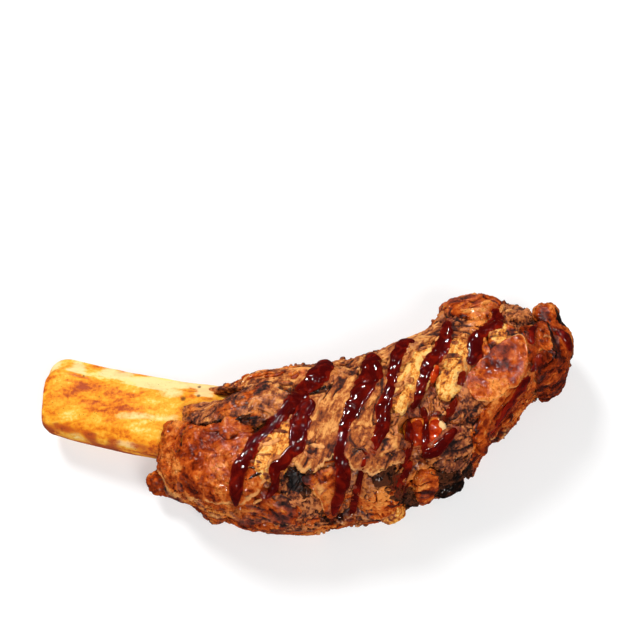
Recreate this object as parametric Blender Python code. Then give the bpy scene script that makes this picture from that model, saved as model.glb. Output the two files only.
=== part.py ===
# A barbecued beef rib: a flat, slightly bent bone runs through a thick piece of
# meat, and thick sauce lies over the meat in ropes.
# The rib lies along X with the bare end of the bone at -X, near side at -Y,
# and stands on Z = 0. Lengths are in metres.

import bpy
import bmesh
import numpy as np
from mathutils import Vector
from mathutils.bvhtree import BVHTree

MM = 0.001

# Bone: a flat rib bone, sawn square at its left end. In plan it bends round a
# wide arc, and it climbs a little to the right.
BONE_LEFT = -123 * MM
BONE_RIGHT = 74 * MM
BONE_WIDTH = 38 * MM
BONE_RIGHT_WIDTH = 26 * MM
BONE_TAPER_FROM = 0 * MM
BONE_THICKNESS = 16 * MM
BONE_LEFT_BEND = 450 * MM
BONE_RIGHT_BEND = 170 * MM
BONE_NEAR_X = 24 * MM
BONE_NEAR_Y = -14.5 * MM
BONE_LEFT_HEIGHT = 13 * MM
BONE_CLIMB = 0.09
BONE_SQUARENESS = 3.2
BONE_RIDGE = 9 * MM
BONE_BEVEL_SLOPE = 0.8
RIM_NEAR = 5 * MM
RIM_FAR = 12 * MM
RIM_THICK = 2.5 * MM
RIM_RINGS = 3
BONE_AROUND = 28
BONE_ALONG = 30

# Meat: rings of an uneven round section stand along X. Each row is a station:
# its X, nearest edge, farthest edge and top, in millimetres.
MEAT_STATIONS = np.array([
    (-65, -36, -7, 29),
    (-60, -40, -4, 32),
    (-54, -43, -3, 35),
    (-47, -46, 0, 38),
    (-40, -48, 6, 40),
    (-32, -50, 9, 42),
    (-18, -54, 13, 44),
    (0, -56, 15, 46),
    (10, -53, 16, 47),
    (20, -49, 18, 47),
    (30, -49, 21, 47),
    (45, -42, 30, 46),
    (56, -39, 34, 46),
    (63, -37, 42, 46),
    (72, -30, 48, 45),
    (82, -16, 49, 44),
    (92, -4, 46, 43),
    (102, 6, 42, 40),
    (112, 12, 40, 36),
    (120, 19, 37, 30),
    (125, 24, 31, 23),
]) * MM
MEAT_SQUARENESS = 2.4
MEAT_WAIST = 0.40
MEAT_FAR_LIFT = 5 * MM
MEAT_SAG = 0.50
MEAT_END_SHARPNESS = 14
MEAT_AROUND = 60
MEAT_ALONG = 60

# Crags: broad lumps, then smaller ones with sharp valleys
LUMP_SIZE = 17 * MM
LUMP_HEIGHT = 3.4 * MM
CRAG_SIZE = 9 * MM
CRAG_HEIGHT = 2.2 * MM

# Ledges, where a layer of meat ends in a lip: the lip's line in plan, how far
# the layer stands above what is below it, and how soft the step is
LEDGES = {
    "left flap": dict(line=((-64, -31), (-57, -37), (-45, -41), (-30, -45)), height=3.6, soft=2.2),
    "top layer": dict(line=((-6, -35), (3, -36), (14, -32), (27, -36), (40, -27)), height=3.6, soft=2.2),
    "right layer": dict(line=((66, -16), (76, -10), (88, 0), (97, 10)), height=2.6, soft=2.5),
}
# Creases and hollows: a line in plan, depth and half width
CREASES = {
    "flap crease": dict(line=((-56, -14), (-41, -17), (-20, -20)), depth=3.4, half=3.0),
    "far hollow": dict(line=((-8, 0), (4, -1), (17, -2)), depth=5.0, half=3.6),
    "near split": dict(line=((-16, -44), (-3, -42), (10, -46)), depth=3.0, half=3.5),
    "dark hollow": dict(line=((42, -36), (54, -34), (66, -30)), depth=3.2, half=5.0),
    "end notch": dict(line=((101, 30), (106, 40), (108, 50)), depth=5.0, half=3.0),
}

# Where the bone shows: a wedge at the left, between the flap and the far strip,
# and a small window in the top
TONGUE_NEAR_LINE = ((-72, -12), (-62, -9), (-57, -6.5), (-51, -8.5), (-45, -8.5), (-37, -5), (-29, -1), (-25, 1))
TONGUE_FAR_LINE = ((-72, 30), (-46, 9), (-43, 4.5), (-36, 3.5), (-25, 2.5))
TONGUE_TIP = -26
WINDOW_CENTRE = (49, -19)
WINDOW_HALF = (10, 5.5)
SADDLE_HALF = (26, 15)
SADDLE_DEPTH = 5 * MM
BARE_DEPTH = 2.0 * MM

# Nubs of meat that stick out of the edge: centre and radius in millimetres
NUBS = (
    (-64, -32, 12, 9.5),
    (-24, -45, 13, 11.0),
    (36, -42, 14, 10.5),
    (75, -22, 26, 8.0),
    (108, 39, 23, 11.0),
    (108, 19, 17, 11.0),
    (114, 30, 19, 10.5),
    (69, 40, 26, 11.0),
)
NUB_ROUGHNESS = 0.22

# Sauce ropes: points of the line in plan, then the half width at its start,
# middle and end, all in millimetres
SAUCE_ROPES = {
    "A": (((9, 15), (4, 6), (-9, -11), (-21, -23), (-28, -35), (-31, -42), (-30, -47)), (5.4, 3.8, 3.8)),
    "B": (((2, -7), (-4, -19), (-6, -30), (-13, -36), (-14, -43), (-18, -48)), (3.8, 4.2, 2.0)),
    "C": (((28, 17), (28, 8), (21, -7), (15, -20), (13, -31), (15, -40), (12, -47), (10, -51)), (5.2, 4.0, 3.4)),
    "D": (((46, 20), (39, 16), (36, 0), (32, -12), (31, -18)), (2.6, 3.0, 2.2)),
    "E": (((63, 33), (61, 24), (57, 16), (52, 9), (49, 0)), (2.4, 2.8, 2.0)),
    "F": (((85, 37), (86, 32), (76, 26), (73, 17), (69, 9), (65, -4)), (2.8, 3.0, 2.0)),
}
ROPE_STEP = 4.5 * MM
ROPE_SINK = 0.45
ROPE_SIDES = 2

FIT_GAP = 0.35 * MM
CREASE_ANGLE = 0.7

BONE_COLOUR = (0.86, 0.47, 0.10, 1.0)
MEAT_COLOUR = (0.27, 0.07, 0.018, 1.0)


def remove_everything():
    for item in list(bpy.data.objects):
        bpy.data.objects.remove(item, do_unlink=True)


def material(name, colour, roughness):
    made = bpy.data.materials.new(name)
    made.use_nodes = True
    shader = made.node_tree.nodes["Principled BSDF"]
    shader.inputs["Base Color"].default_value = colour
    shader.inputs["Roughness"].default_value = roughness
    shader.inputs["Metallic"].default_value = 0.0
    return made


def collection(name):
    made = bpy.data.collections.new(name)
    bpy.context.scene.collection.children.link(made)
    return made


def smooth_step(value):
    t = np.clip(value, 0.0, 1.0)
    return t * t * (3.0 - 2.0 * t)


def gradient_noise(points, size, seed):
    # Classic gradient noise in three dimensions, about -1 to 1
    scaled = points / size + seed * 17.31
    cell = np.floor(scaled).astype(np.int64)
    part = scaled - cell
    fade = part * part * part * (part * (part * 6.0 - 15.0) + 10.0)
    total = np.zeros(len(points))
    for corner in range(8):
        step = np.array([(corner >> axis) & 1 for axis in range(3)])
        at = cell + step
        key = (at[:, 0] * 73856093) ^ (at[:, 1] * 19349663) ^ (at[:, 2] * 83492791) ^ (seed * 2654435)
        key = (key ^ (key >> 13)) & 0x7FFFFFFF
        gradient = np.stack([((key * (7919 + 104 * axis)) >> 7) & 1023 for axis in range(3)], 1) / 511.5 - 1.0
        weight = np.prod(np.where(step == 1, fade, 1.0 - fade), axis=1)
        total += weight * np.sum(gradient * (part - step), axis=1)
    return total


def sphere_mesh(name, around, along):
    # A unit sphere with its poles on Z; returns the mesh with, for each point,
    # its share of the way from pole to pole and its angle round the axis
    mesh = bpy.data.meshes.new(name)
    shape = bmesh.new()
    bmesh.ops.create_uvsphere(shape, u_segments=around, v_segments=along, radius=1.0)
    shape.to_mesh(mesh)
    shape.free()
    points = get_points(mesh)
    share = np.arccos(np.clip(points[:, 2], -1.0, 1.0)) / np.pi
    angle = np.arctan2(points[:, 1], points[:, 0])
    return mesh, share, angle


def get_points(mesh):
    flat = np.empty(len(mesh.vertices) * 3)
    mesh.vertices.foreach_get("co", flat)
    return flat.reshape(-1, 3)


def get_normals(mesh):
    flat = np.empty(len(mesh.vertices) * 3)
    mesh.vertices.foreach_get("normal", flat)
    return flat.reshape(-1, 3)


def set_points(mesh, points):
    mesh.vertices.foreach_set("co", points.ravel())
    mesh.update()


def face_outwards(mesh):
    shape = bmesh.new()
    shape.from_mesh(mesh)
    bmesh.ops.recalc_face_normals(shape, faces=shape.faces)
    bmesh.ops.triangulate(shape, faces=shape.faces)
    shape.to_mesh(mesh)
    shape.free()
    mesh.update()


def superellipse(angle, power):
    c, s = np.cos(angle), np.sin(angle)
    return (np.sign(c) * np.abs(c) ** (2.0 / power), np.sign(s) * np.abs(s) ** (2.0 / power))


def bone_axis(x):
    from_near = x - BONE_NEAR_X
    radius = np.where(from_near < 0.0, BONE_LEFT_BEND, BONE_RIGHT_BEND)
    y = BONE_NEAR_Y + from_near ** 2 / (2.0 * radius)
    z = BONE_LEFT_HEIGHT + (x - BONE_LEFT) * BONE_CLIMB
    return y, z


def bone_half_width(x):
    run = np.clip((x - BONE_TAPER_FROM) / (BONE_RIGHT - BONE_TAPER_FROM), 0.0, 1.0)
    return 0.5 * (BONE_WIDTH + (BONE_RIGHT_WIDTH - BONE_WIDTH) * run)


def bone_top(x, y):
    # Height of the bone's broad upper face above a point in plan
    axis_y, axis_z = bone_axis(x)
    share = np.clip(np.abs(y - axis_y) / bone_half_width(x), 0.0, 0.98)
    return axis_z + 0.5 * BONE_THICKNESS * (1.0 - share ** BONE_SQUARENESS) ** (1.0 / BONE_SQUARENESS)


def bone_mesh(name, grow):
    # Rings stand square to X. The section is a squared oval with a flat bevel
    # along its far upper edge. Each end is a flat face inside a rounded rim,
    # and the rim's quarter circle is wider at the far corner than at the near.
    mesh, share, angle = sphere_mesh(name, BONE_AROUND, BONE_ALONG)
    ring = np.rint(share * BONE_ALONG).astype(int)
    from_end = np.minimum(ring, BONE_ALONG - ring)
    rim = np.clip((from_end - 1) / RIM_RINGS, 0.0, 1.0) * np.pi / 2
    across, up = superellipse(angle, BONE_SQUARENESS)
    corner = RIM_NEAR + (RIM_FAR - RIM_NEAR) * smooth_step(0.5 + 0.5 * across)
    left, right = BONE_LEFT - grow, BONE_RIGHT + grow
    run = np.clip((ring - 1 - RIM_RINGS) / (BONE_ALONG - 2 - 2 * RIM_RINGS), 0.0, 1.0)
    x = left + corner + run * (right - left - 2.0 * corner)
    x = np.where(ring <= RIM_RINGS + 1, left + corner * (1.0 - np.cos(rim)), x)
    x = np.where(ring >= BONE_ALONG - RIM_RINGS - 1, right - corner * (1.0 - np.cos(rim)), x)
    lost = 1.0 - np.sin(rim)
    half_width = bone_half_width(x) + grow - corner * lost
    half_thick = 0.5 * BONE_THICKNESS + grow - RIM_THICK * lost
    across = across * half_width
    up = up * half_thick
    past_ridge = across - (half_width - BONE_RIDGE)
    up = np.where(past_ridge > 0.0, np.minimum(up, half_thick - past_ridge * BONE_BEVEL_SLOPE), up)
    pole = from_end == 0
    across[pole] = 0.0
    up[pole] = 0.0
    axis_y, axis_z = bone_axis(x)
    set_points(mesh, np.stack([x, axis_y + across, axis_z + up], 1))
    face_outwards(mesh)
    return mesh


def station(x, column):
    # Smooth curve through the stations, as Hermite pieces with centred slopes
    places = MEAT_STATIONS[:, 0]
    values = MEAT_STATIONS[:, column]
    slopes = np.gradient(values, places)
    i = np.clip(np.searchsorted(places, x) - 1, 0, len(places) - 2)
    length = places[i + 1] - places[i]
    t = np.clip((x - places[i]) / length, 0.0, 1.0)
    return ((2 * t**3 - 3 * t**2 + 1) * values[i]
            + (t**3 - 2 * t**2 + t) * length * slopes[i]
            + (3 * t**2 - 2 * t**3) * values[i + 1]
            + (t**3 - t**2) * length * slopes[i + 1])


def meat_form(share, angle):
    # Rings stand at even steps along X, closer together at the ends, and the
    # ring shrinks to a point there. The underside is pressed flat on Z = 0.
    left, right = MEAT_STATIONS[0, 0], MEAT_STATIONS[-1, 0]
    middle, reach = 0.5 * (left + right), 0.5 * (right - left)
    even = 2.0 * share - 1.0
    spread = even + 0.10 * np.sin(np.pi * even)
    x = middle + reach * spread
    closing = np.sqrt(np.clip(1.0 - np.abs(spread) ** MEAT_END_SHARPNESS, 0.0, 1.0))
    near, far, top = station(x, 1), station(x, 2), station(x, 3)
    across, up = superellipse(angle, MEAT_SQUARENESS)
    y = 0.5 * (near + far) + 0.5 * (far - near) * across * closing
    waist = MEAT_WAIST * top + MEAT_FAR_LIFT * across
    z = waist + np.where(up > 0.0, (top - waist) * up, MEAT_SAG * top * up) * closing
    return np.stack([x, y, np.maximum(z, 0.0)], 1)


def line_height(x, line):
    places = np.array([p[0] for p in line]) * MM
    values = np.array([p[1] for p in line]) * MM
    return np.interp(x, places, values)


def line_reach(x, line, fade=6 * MM):
    first, last = line[0][0] * MM, line[-1][0] * MM
    return smooth_step((x - first + fade) / fade) * smooth_step((last + fade - x) / fade)


def meat_relief(points, normals):
    # Height above the plain form, none on the underside that the meat rests on
    x, y = points[:, 0], points[:, 1]
    upward = smooth_step((normals[:, 2] + 0.1) / 0.5)
    lumps = gradient_noise(points, LUMP_SIZE, 3) * LUMP_HEIGHT
    crags = (0.35 - np.abs(gradient_noise(points, CRAG_SIZE, 8))) * CRAG_HEIGHT
    height = (lumps + crags) * smooth_step((normals[:, 2] + 0.97) / 0.4)
    for ledge in LEDGES.values():
        above = y - line_height(x, ledge["line"])
        step = smooth_step(above / (ledge["soft"] * MM) + 0.5) * np.exp(-np.maximum(above, 0.0) / (14 * MM))
        height += step * ledge["height"] * MM * line_reach(x, ledge["line"]) * upward
    for crease in CREASES.values():
        distance = distance_to_line(x, y, crease["line"])
        height -= crease["depth"] * MM * np.exp(-(distance / (crease["half"] * MM)) ** 2) * upward
    saddle = ((x / MM - WINDOW_CENTRE[0]) / SADDLE_HALF[0]) ** 2 + ((y / MM - WINDOW_CENTRE[1]) / SADDLE_HALF[1]) ** 2
    height -= SADDLE_DEPTH * np.exp(-saddle) * upward
    return height


def distance_to_line(x, y, line):
    nearest = np.full(len(x), 1.0)
    for (ax, ay), (bx, by) in zip(line[:-1], line[1:]):
        ax, ay, bx, by = ax * MM, ay * MM, bx * MM, by * MM
        along = ((x - ax) * (bx - ax) + (y - ay) * (by - ay)) / ((bx - ax) ** 2 + (by - ay) ** 2)
        along = np.clip(along, 0.0, 1.0)
        nearest = np.minimum(nearest, np.hypot(x - ax - along * (bx - ax), y - ay - along * (by - ay)))
    return nearest


def bare_places(points):
    # 1 where the meat is cut back so that the bone shows, 0 elsewhere
    x, y = points[:, 0], points[:, 1]
    near = smooth_step((y - line_height(x, TONGUE_NEAR_LINE)) / (2.5 * MM))
    far = smooth_step((line_height(x, TONGUE_FAR_LINE) - y) / (2.5 * MM))
    tongue = near * far * smooth_step((TONGUE_TIP * MM - x) / (3 * MM))
    across = np.abs((x / MM - WINDOW_CENTRE[0]) / WINDOW_HALF[0]) ** 3
    across = across + np.abs((y / MM - WINDOW_CENTRE[1]) / WINDOW_HALF[1]) ** 3
    window = smooth_step((1.5 - across) / 0.9)
    return np.maximum(tongue, window)


def make_meat(home):
    mesh, share, angle = sphere_mesh("meat", MEAT_AROUND, MEAT_ALONG)
    set_points(mesh, meat_form(share, angle))
    face_outwards(mesh)
    points, normals = get_points(mesh), get_normals(mesh)
    points = points + normals * meat_relief(points, normals)[:, None]
    x, y, z = points.T
    limit = np.minimum(z, bone_top(x, y) - BARE_DEPTH)
    on_top = smooth_step((normals[:, 2] + 0.2) / 0.3)
    bare = bare_places(points) * on_top
    points[:, 2] = np.maximum(z + (limit - z) * bare, 0.0)
    set_points(mesh, points)
    made = bpy.data.objects.new("meat", mesh)
    home.objects.link(made)
    return made


def make_nub(index, home):
    x, y, z, radius = [value * MM for value in NUBS[index]]
    mesh, share, angle = sphere_mesh(f"nub {index}", 12, 9)
    points = get_points(mesh)
    points = points * (1.0 + NUB_ROUGHNESS * gradient_noise(points, 0.8, 20 + index))[:, None]
    points = points * radius + np.array([x, y, z])
    points[:, 2] = np.maximum(points[:, 2], 0.2 * MM * (index + 1))
    set_points(mesh, points)
    face_outwards(mesh)
    home.objects.link(bpy.data.objects.new(mesh.name, mesh))


def resample(points, step):
    # Even steps along a smooth curve through the given points
    points = np.array(points, float)
    places = np.concatenate([[0.0], np.cumsum(np.hypot(*np.diff(points, axis=0).T))])
    fine = np.linspace(0.0, places[-1], 200)
    slopes = np.gradient(points, places, axis=0)
    i = np.clip(np.searchsorted(places, fine) - 1, 0, len(places) - 2)
    length = (places[i + 1] - places[i])[:, None]
    t = ((fine - places[i]) / length[:, 0])[:, None]
    curve = ((2 * t**3 - 3 * t**2 + 1) * points[i] + (t**3 - 2 * t**2 + t) * length * slopes[i]
             + (3 * t**2 - 2 * t**3) * points[i + 1] + (t**3 - t**2) * length * slopes[i + 1])
    run = np.concatenate([[0.0], np.cumsum(np.hypot(*np.diff(curve, axis=0).T))])
    count = max(4, int(round(run[-1] / step)) + 1)
    even = np.linspace(0.0, run[-1], count)
    return np.stack([np.interp(even, run, curve[:, 0]), np.interp(even, run, curve[:, 1])], 1)


def make_rope(name, line, widths, surface, home):
    path = resample(np.array(line) * MM, ROPE_STEP)
    share = np.linspace(0.0, 1.0, len(path))
    radii = np.interp(share, (0.0, 0.5, 1.0), widths) * MM
    curve = bpy.data.curves.new(f"sauce {name}", "CURVE")
    curve.dimensions = "3D"
    curve.bevel_depth = 1.0
    curve.bevel_resolution = ROPE_SIDES
    curve.use_fill_caps = True
    spline = curve.splines.new("POLY")
    spline.points.add(len(path) - 1)
    for point, (x, y), radius in zip(spline.points, path, radii):
        hit = surface.ray_cast(Vector((x, y, 0.2)), Vector((0.0, 0.0, -1.0)))[0]
        point.co = (x, y, hit.z - radius * ROPE_SINK, 1.0)
        point.radius = radius
    made = bpy.data.objects.new(curve.name, curve)
    home.objects.link(made)
    bpy.context.view_layer.update()
    return curve_to_mesh(made, home)


def curve_to_mesh(made, home):
    graph = bpy.context.evaluated_depsgraph_get()
    mesh = bpy.data.meshes.new_from_object(made.evaluated_get(graph))
    shape = bmesh.new()
    shape.from_mesh(mesh)
    bmesh.ops.remove_doubles(shape, verts=shape.verts, dist=0.00001)
    shape.to_mesh(mesh)
    shape.free()
    solid = bpy.data.objects.new(made.name + " solid", mesh)
    solid.matrix_world = made.matrix_world
    home.objects.link(solid)
    bpy.data.objects.remove(made, do_unlink=True)
    face_outwards(mesh)
    return solid


def apply_boolean(target, operation, **what):
    step = target.modifiers.new(operation.lower(), "BOOLEAN")
    step.operation = operation
    step.solver = "EXACT"
    for key, value in what.items():
        setattr(step, key, value)
    bpy.context.view_layer.update()
    graph = bpy.context.evaluated_depsgraph_get()
    mesh = bpy.data.meshes.new_from_object(target.evaluated_get(graph))
    target.modifiers.clear()
    old = target.data
    target.data = mesh
    bpy.data.meshes.remove(old)


def stand_on_origin(pieces):
    # The middle of the rib's box stands over the origin, its lowest point on Z = 0
    everything = np.concatenate([get_points(piece.data) for piece in pieces])
    low, high = everything.min(axis=0), everything.max(axis=0)
    middle = np.array([0.5 * (low[0] + high[0]), 0.5 * (low[1] + high[1]), low[2]])
    for piece in pieces:
        set_points(piece.data, get_points(piece.data) - middle)


def build():
    remove_everything()
    rib = collection("beef rib")
    added = collection("fused to the meat")

    bone = bpy.data.objects.new("bone", bone_mesh("bone", 0.0))
    rib.objects.link(bone)
    bone.data.materials.append(material("bone", BONE_COLOUR, 0.45))
    bone.data.shade_smooth()

    meat = make_meat(rib)
    bpy.context.view_layer.update()
    surface = BVHTree.FromObject(meat, bpy.context.evaluated_depsgraph_get())
    for index in range(len(NUBS)):
        make_nub(index, added)
    for name, (line, widths) in SAUCE_ROPES.items():
        make_rope(name, line, widths, surface, added)
    apply_boolean(meat, "UNION", operand_type="COLLECTION", collection=added)
    for item in list(added.objects):
        bpy.data.objects.remove(item, do_unlink=True)
    bpy.data.collections.remove(added)

    tunnel = bpy.data.objects.new("tunnel", bone_mesh("tunnel", FIT_GAP))
    rib.objects.link(tunnel)
    apply_boolean(meat, "DIFFERENCE", operand_type="OBJECT", object=tunnel)
    bpy.data.objects.remove(tunnel, do_unlink=True)

    meat.data.materials.clear()
    meat.data.materials.append(material("meat", MEAT_COLOUR, 0.35))
    meat.data.shade_smooth()
    meat.data.set_sharp_from_angle(angle=CREASE_ANGLE)
    stand_on_origin([bone, meat])


build()
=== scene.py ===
# A barbecued beef rib on a pale floor: a flat bone runs through browned meat, torn
# flaps and shreds of meat lie over one another, and thick sauce lies on top in ropes.
# Shapes are worked out in millimetres, in the drawing's own coordinates (X along the
# rib, the near side at -Y), and become metres in the frame in makePiece.
import math
import bpy
import numpy as np
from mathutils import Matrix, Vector


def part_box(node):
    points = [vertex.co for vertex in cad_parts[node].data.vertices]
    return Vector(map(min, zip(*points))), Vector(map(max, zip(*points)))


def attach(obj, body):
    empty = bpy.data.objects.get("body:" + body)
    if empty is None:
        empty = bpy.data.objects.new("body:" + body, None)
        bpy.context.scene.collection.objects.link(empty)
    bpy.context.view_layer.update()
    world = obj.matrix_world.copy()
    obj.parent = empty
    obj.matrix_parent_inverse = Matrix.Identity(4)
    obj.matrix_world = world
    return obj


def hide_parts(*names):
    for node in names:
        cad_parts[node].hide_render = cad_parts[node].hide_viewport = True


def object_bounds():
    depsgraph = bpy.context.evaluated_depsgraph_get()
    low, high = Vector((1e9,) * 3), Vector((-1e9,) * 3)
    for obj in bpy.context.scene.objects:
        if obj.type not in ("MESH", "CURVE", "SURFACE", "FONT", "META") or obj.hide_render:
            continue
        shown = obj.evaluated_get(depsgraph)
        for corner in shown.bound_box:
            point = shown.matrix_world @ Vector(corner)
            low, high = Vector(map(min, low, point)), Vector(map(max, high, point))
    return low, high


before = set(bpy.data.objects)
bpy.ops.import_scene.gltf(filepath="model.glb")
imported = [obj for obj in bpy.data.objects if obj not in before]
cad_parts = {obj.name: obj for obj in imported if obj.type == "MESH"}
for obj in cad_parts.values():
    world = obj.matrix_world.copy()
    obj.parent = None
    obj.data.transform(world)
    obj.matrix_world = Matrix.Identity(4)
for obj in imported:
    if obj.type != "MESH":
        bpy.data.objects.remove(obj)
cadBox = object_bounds()
print("frame loaded:", sorted(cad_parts))

mm = 0.001
squeeze = (1.2, 1.2, 6.0)      # depth of the soft limit along each axis, in millimetres
clearance = 0.2      # the least height of a flap, nub or crumb above the floor


# Helpers on numbers

def smoothStep(value):
    # 0 below 0, 1 above 1, and between them three squares less two cubes of the value
    t = np.clip(value, 0.0, 1.0)
    return t * t * (3.0 - 2.0 * t)


def hermite(x, places, values):
    # smooth curve through values given at places: Hermite pieces with centred slopes
    places, values = np.asarray(places, float), np.asarray(values, float)
    slopes = np.gradient(values, places, axis=0)
    i = np.clip(np.searchsorted(places, x) - 1, 0, len(places) - 2)
    length = places[i + 1] - places[i]
    t = np.clip((x - places[i]) / length, 0.0, 1.0)
    if values.ndim > 1:
        t, length = t[..., None], length[..., None]
    return ((2 * t**3 - 3 * t**2 + 1) * values[i] + (t**3 - 2 * t**2 + t) * length * slopes[i]
            + (3 * t**2 - 2 * t**3) * values[i + 1] + (t**3 - t**2) * length * slopes[i + 1])


def evenly(share, values):
    # smooth curve through values that stand at even steps from 0 to 1
    return hermite(share, np.linspace(0.0, 1.0, len(values)), values)


def swirl(points, size, seed):
    # gradient noise, about -1 to 1: random slopes at the corners of a lattice, blended
    scaled = points / size + seed * 17.31
    cell = np.floor(scaled).astype(np.int64)
    part = scaled - cell
    fade = part * part * part * (part * (part * 6.0 - 15.0) + 10.0)
    total = np.zeros(points.shape[:-1])
    for corner in range(8):
        step = np.array([(corner >> axis) & 1 for axis in range(3)])
        at = cell + step
        key = (at[..., 0] * 73856093) ^ (at[..., 1] * 19349663) ^ (at[..., 2] * 83492791) ^ (seed * 2654435)
        key = (key ^ (key >> 13)) & 0x7FFFFFFF
        slope = np.stack([((key * (7919 + 104 * axis)) >> 7) & 1023 for axis in range(3)], -1) / 511.5 - 1.0
        weight = np.prod(np.where(step == 1, fade, 1.0 - fade), axis=-1)
        total += weight * np.sum(slope * (part - step), axis=-1)
    return total


def fractal(points, size, octaves, seed):
    # octaves of swirl, each half the size and half the height of the last
    return sum(swirl(points, size * 0.5**k, seed + k) * 0.55**k for k in range(octaves))


def creased(points, size, octaves, seed):
    # the same with sharp valleys: each octave is folded at zero
    return sum((0.35 - np.abs(swirl(points, size * 0.5**k, seed + k))) * 0.6**k for k in range(octaves))


def warped(points, size, amount, seed):
    # points pushed about by noise, so that what is laid out on them loses its straight lines
    return points + amount * np.stack([swirl(points, size, seed + k) for k in range(3)], -1)


def superellipse(angle, power):
    # a circle's cosine and sine, squarer as the power grows: each keeps its sign, raised to 2 / power
    c, s = np.cos(angle), np.sin(angle)
    return np.sign(c) * np.abs(c) ** (2.0 / power), np.sign(s) * np.abs(s) ** (2.0 / power)


def toLine(x, y, line):
    # distance in plan to a broken line
    nearest = np.full(np.shape(x), 1e3)
    for (ax, ay), (bx, by) in zip(line[:-1], line[1:]):
        along = ((x - ax) * (bx - ax) + (y - ay) * (by - ay)) / ((bx - ax) ** 2 + (by - ay) ** 2)
        along = np.clip(along, 0.0, 1.0)
        nearest = np.minimum(nearest, np.hypot(x - ax - along * (bx - ax), y - ay - along * (by - ay)))
    return nearest


def lineAt(x, line):
    # Y of a broken line at X, straight between its points
    return np.interp(x, [p[0] for p in line], [p[1] for p in line])


def spots(x, y, places, wobble=0.0):
    # 1 inside each spot (centre x, centre y, radius x, radius y), fading to 0 outside it
    most = np.zeros(np.shape(x))
    for cx, cy, rx, ry in places:
        away = np.hypot((x - cx) / rx, (y - cy) / ry) + wobble
        most = np.maximum(most, smoothStep((1.35 - away) / 0.7))
    return most


def turned(points, angle, stretch):
    # coordinates along and across a grain, the first squeezed so that noise runs out into fibres
    x, y, z = points[..., 0], points[..., 1], points[..., 2]
    along, across = x * np.cos(angle) + y * np.sin(angle), y * np.cos(angle) - x * np.sin(angle)
    return np.stack([along * stretch, across, z], -1)


# Meshes: grids of points whose rings run along the last but one axis

def areaVectors(points):
    # products of the steps along and round the grid, and whether they point away from its middle
    along = np.gradient(points, axis=-3)
    around = np.roll(points, -1, -2) - np.roll(points, 1, -2)
    vectors = np.cross(along, around)
    middle = points.mean(axis=(-3, -2), keepdims=True)
    return vectors, np.sum((points - middle) * vectors) > 0


def outward(points):
    # normals of a closed grid surface, turned to point out of it
    vectors, already = areaVectors(points)
    normals = vectors / np.maximum(np.linalg.norm(vectors, axis=-1, keepdims=True), 1e-9)
    return normals if already else -normals


def blurGrid(values, steps):
    # each step takes half of a value and a quarter of each neighbour, round the rings and then along
    for _ in range(steps):
        values = 0.5 * values + 0.25 * (np.roll(values, 1, 1) + np.roll(values, -1, 1))
        padded = np.concatenate([values[:1], values, values[-1:]])
        values = 0.5 * values + 0.25 * (padded[:-2] + padded[2:])
    return values


def withinBox(places):
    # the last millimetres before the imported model's box are squeezed, more and more, to stay inside it
    middle, half, soft = 0.5 * (cadLow + cadHigh), 0.5 * (cadHigh - cadLow), np.array(squeeze) * mm
    away = places - middle
    past = np.maximum(np.abs(away) - (half - soft), 0.0)
    squeezed = middle + np.sign(away) * (np.minimum(np.abs(away), half - soft) + soft * np.tanh(past / soft))
    squeezed[:, 2] = np.where(away[:, 2] > 0.0, squeezed[:, 2], places[:, 2])
    return squeezed


def makePiece(name, points, finish, masks, replaced=()):
    # tubes of rings (tubes, rings, around, xyz) become one mesh, each tube's ends drawn in to a pole
    points = points[None] if points.ndim == 3 else points
    tubes, rows, around = points.shape[:3]
    poles = np.stack([points[:, 0].mean(axis=1), points[:, -1].mean(axis=1)], axis=1)
    verts = np.concatenate([points.reshape(tubes, -1, 3), poles], axis=1).reshape(-1, 3)
    verts = withinBox(verts * mm + origin)
    index = np.arange(rows * around).reshape(rows, around)
    right = np.roll(index, -1, 1)
    quads = np.stack([index[:-1], right[:-1], right[1:], index[1:]], -1).reshape(-1, 4)
    first, last = rows * around, rows * around + 1
    fans = np.concatenate([np.stack([np.full(around, first), right[0], index[0]], -1),
                           np.stack([np.full(around, last), index[-1], right[-1]], -1)])
    if areaVectors(points)[1]:       # wind the faces to point outwards
        quads, fans = quads[:, ::-1], fans[:, ::-1]
    start = (np.arange(tubes) * (rows * around + 2))[:, None, None]
    quads, fans = (quads + start).reshape(-1, 4), (fans + start).reshape(-1, 3)
    mesh = bpy.data.meshes.new(name)
    mesh.vertices.add(len(verts))
    mesh.vertices.foreach_set("co", verts.ravel())
    corners = np.concatenate([quads.ravel(), fans.ravel()])
    starts = np.concatenate([np.arange(len(quads)) * 4, quads.size + np.arange(len(fans)) * 3])
    mesh.loops.add(len(corners))
    mesh.loops.foreach_set("vertex_index", corners.astype(np.int32))
    mesh.polygons.add(len(starts))
    mesh.polygons.foreach_set("loop_start", starts.astype(np.int32))
    mesh.update(calc_edges=True)
    mesh.validate()
    mesh.shade_smooth()
    for label, values in masks.items():
        colour = np.ones((tubes, rows * around + 2, 4))
        for channel, value in enumerate(values):
            full = np.broadcast_to(value, (tubes, rows, around))
            colour[:, :-2, channel] = full.reshape(tubes, -1)
            colour[:, -2, channel] = full[:, 0].mean(axis=1)
            colour[:, -1, channel] = full[:, -1].mean(axis=1)
        layer = mesh.color_attributes.new(label, "FLOAT_COLOR", "POINT")
        layer.data.foreach_set("color", np.clip(colour, 0.0, 1.0).ravel())
    mesh.materials.append(finish)
    piece = bpy.data.objects.new(name, mesh)
    bpy.context.scene.collection.objects.link(piece)
    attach(piece, "root")
    for node in replaced:
        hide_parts(node)
    return piece


# Materials: expressions on sockets

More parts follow.
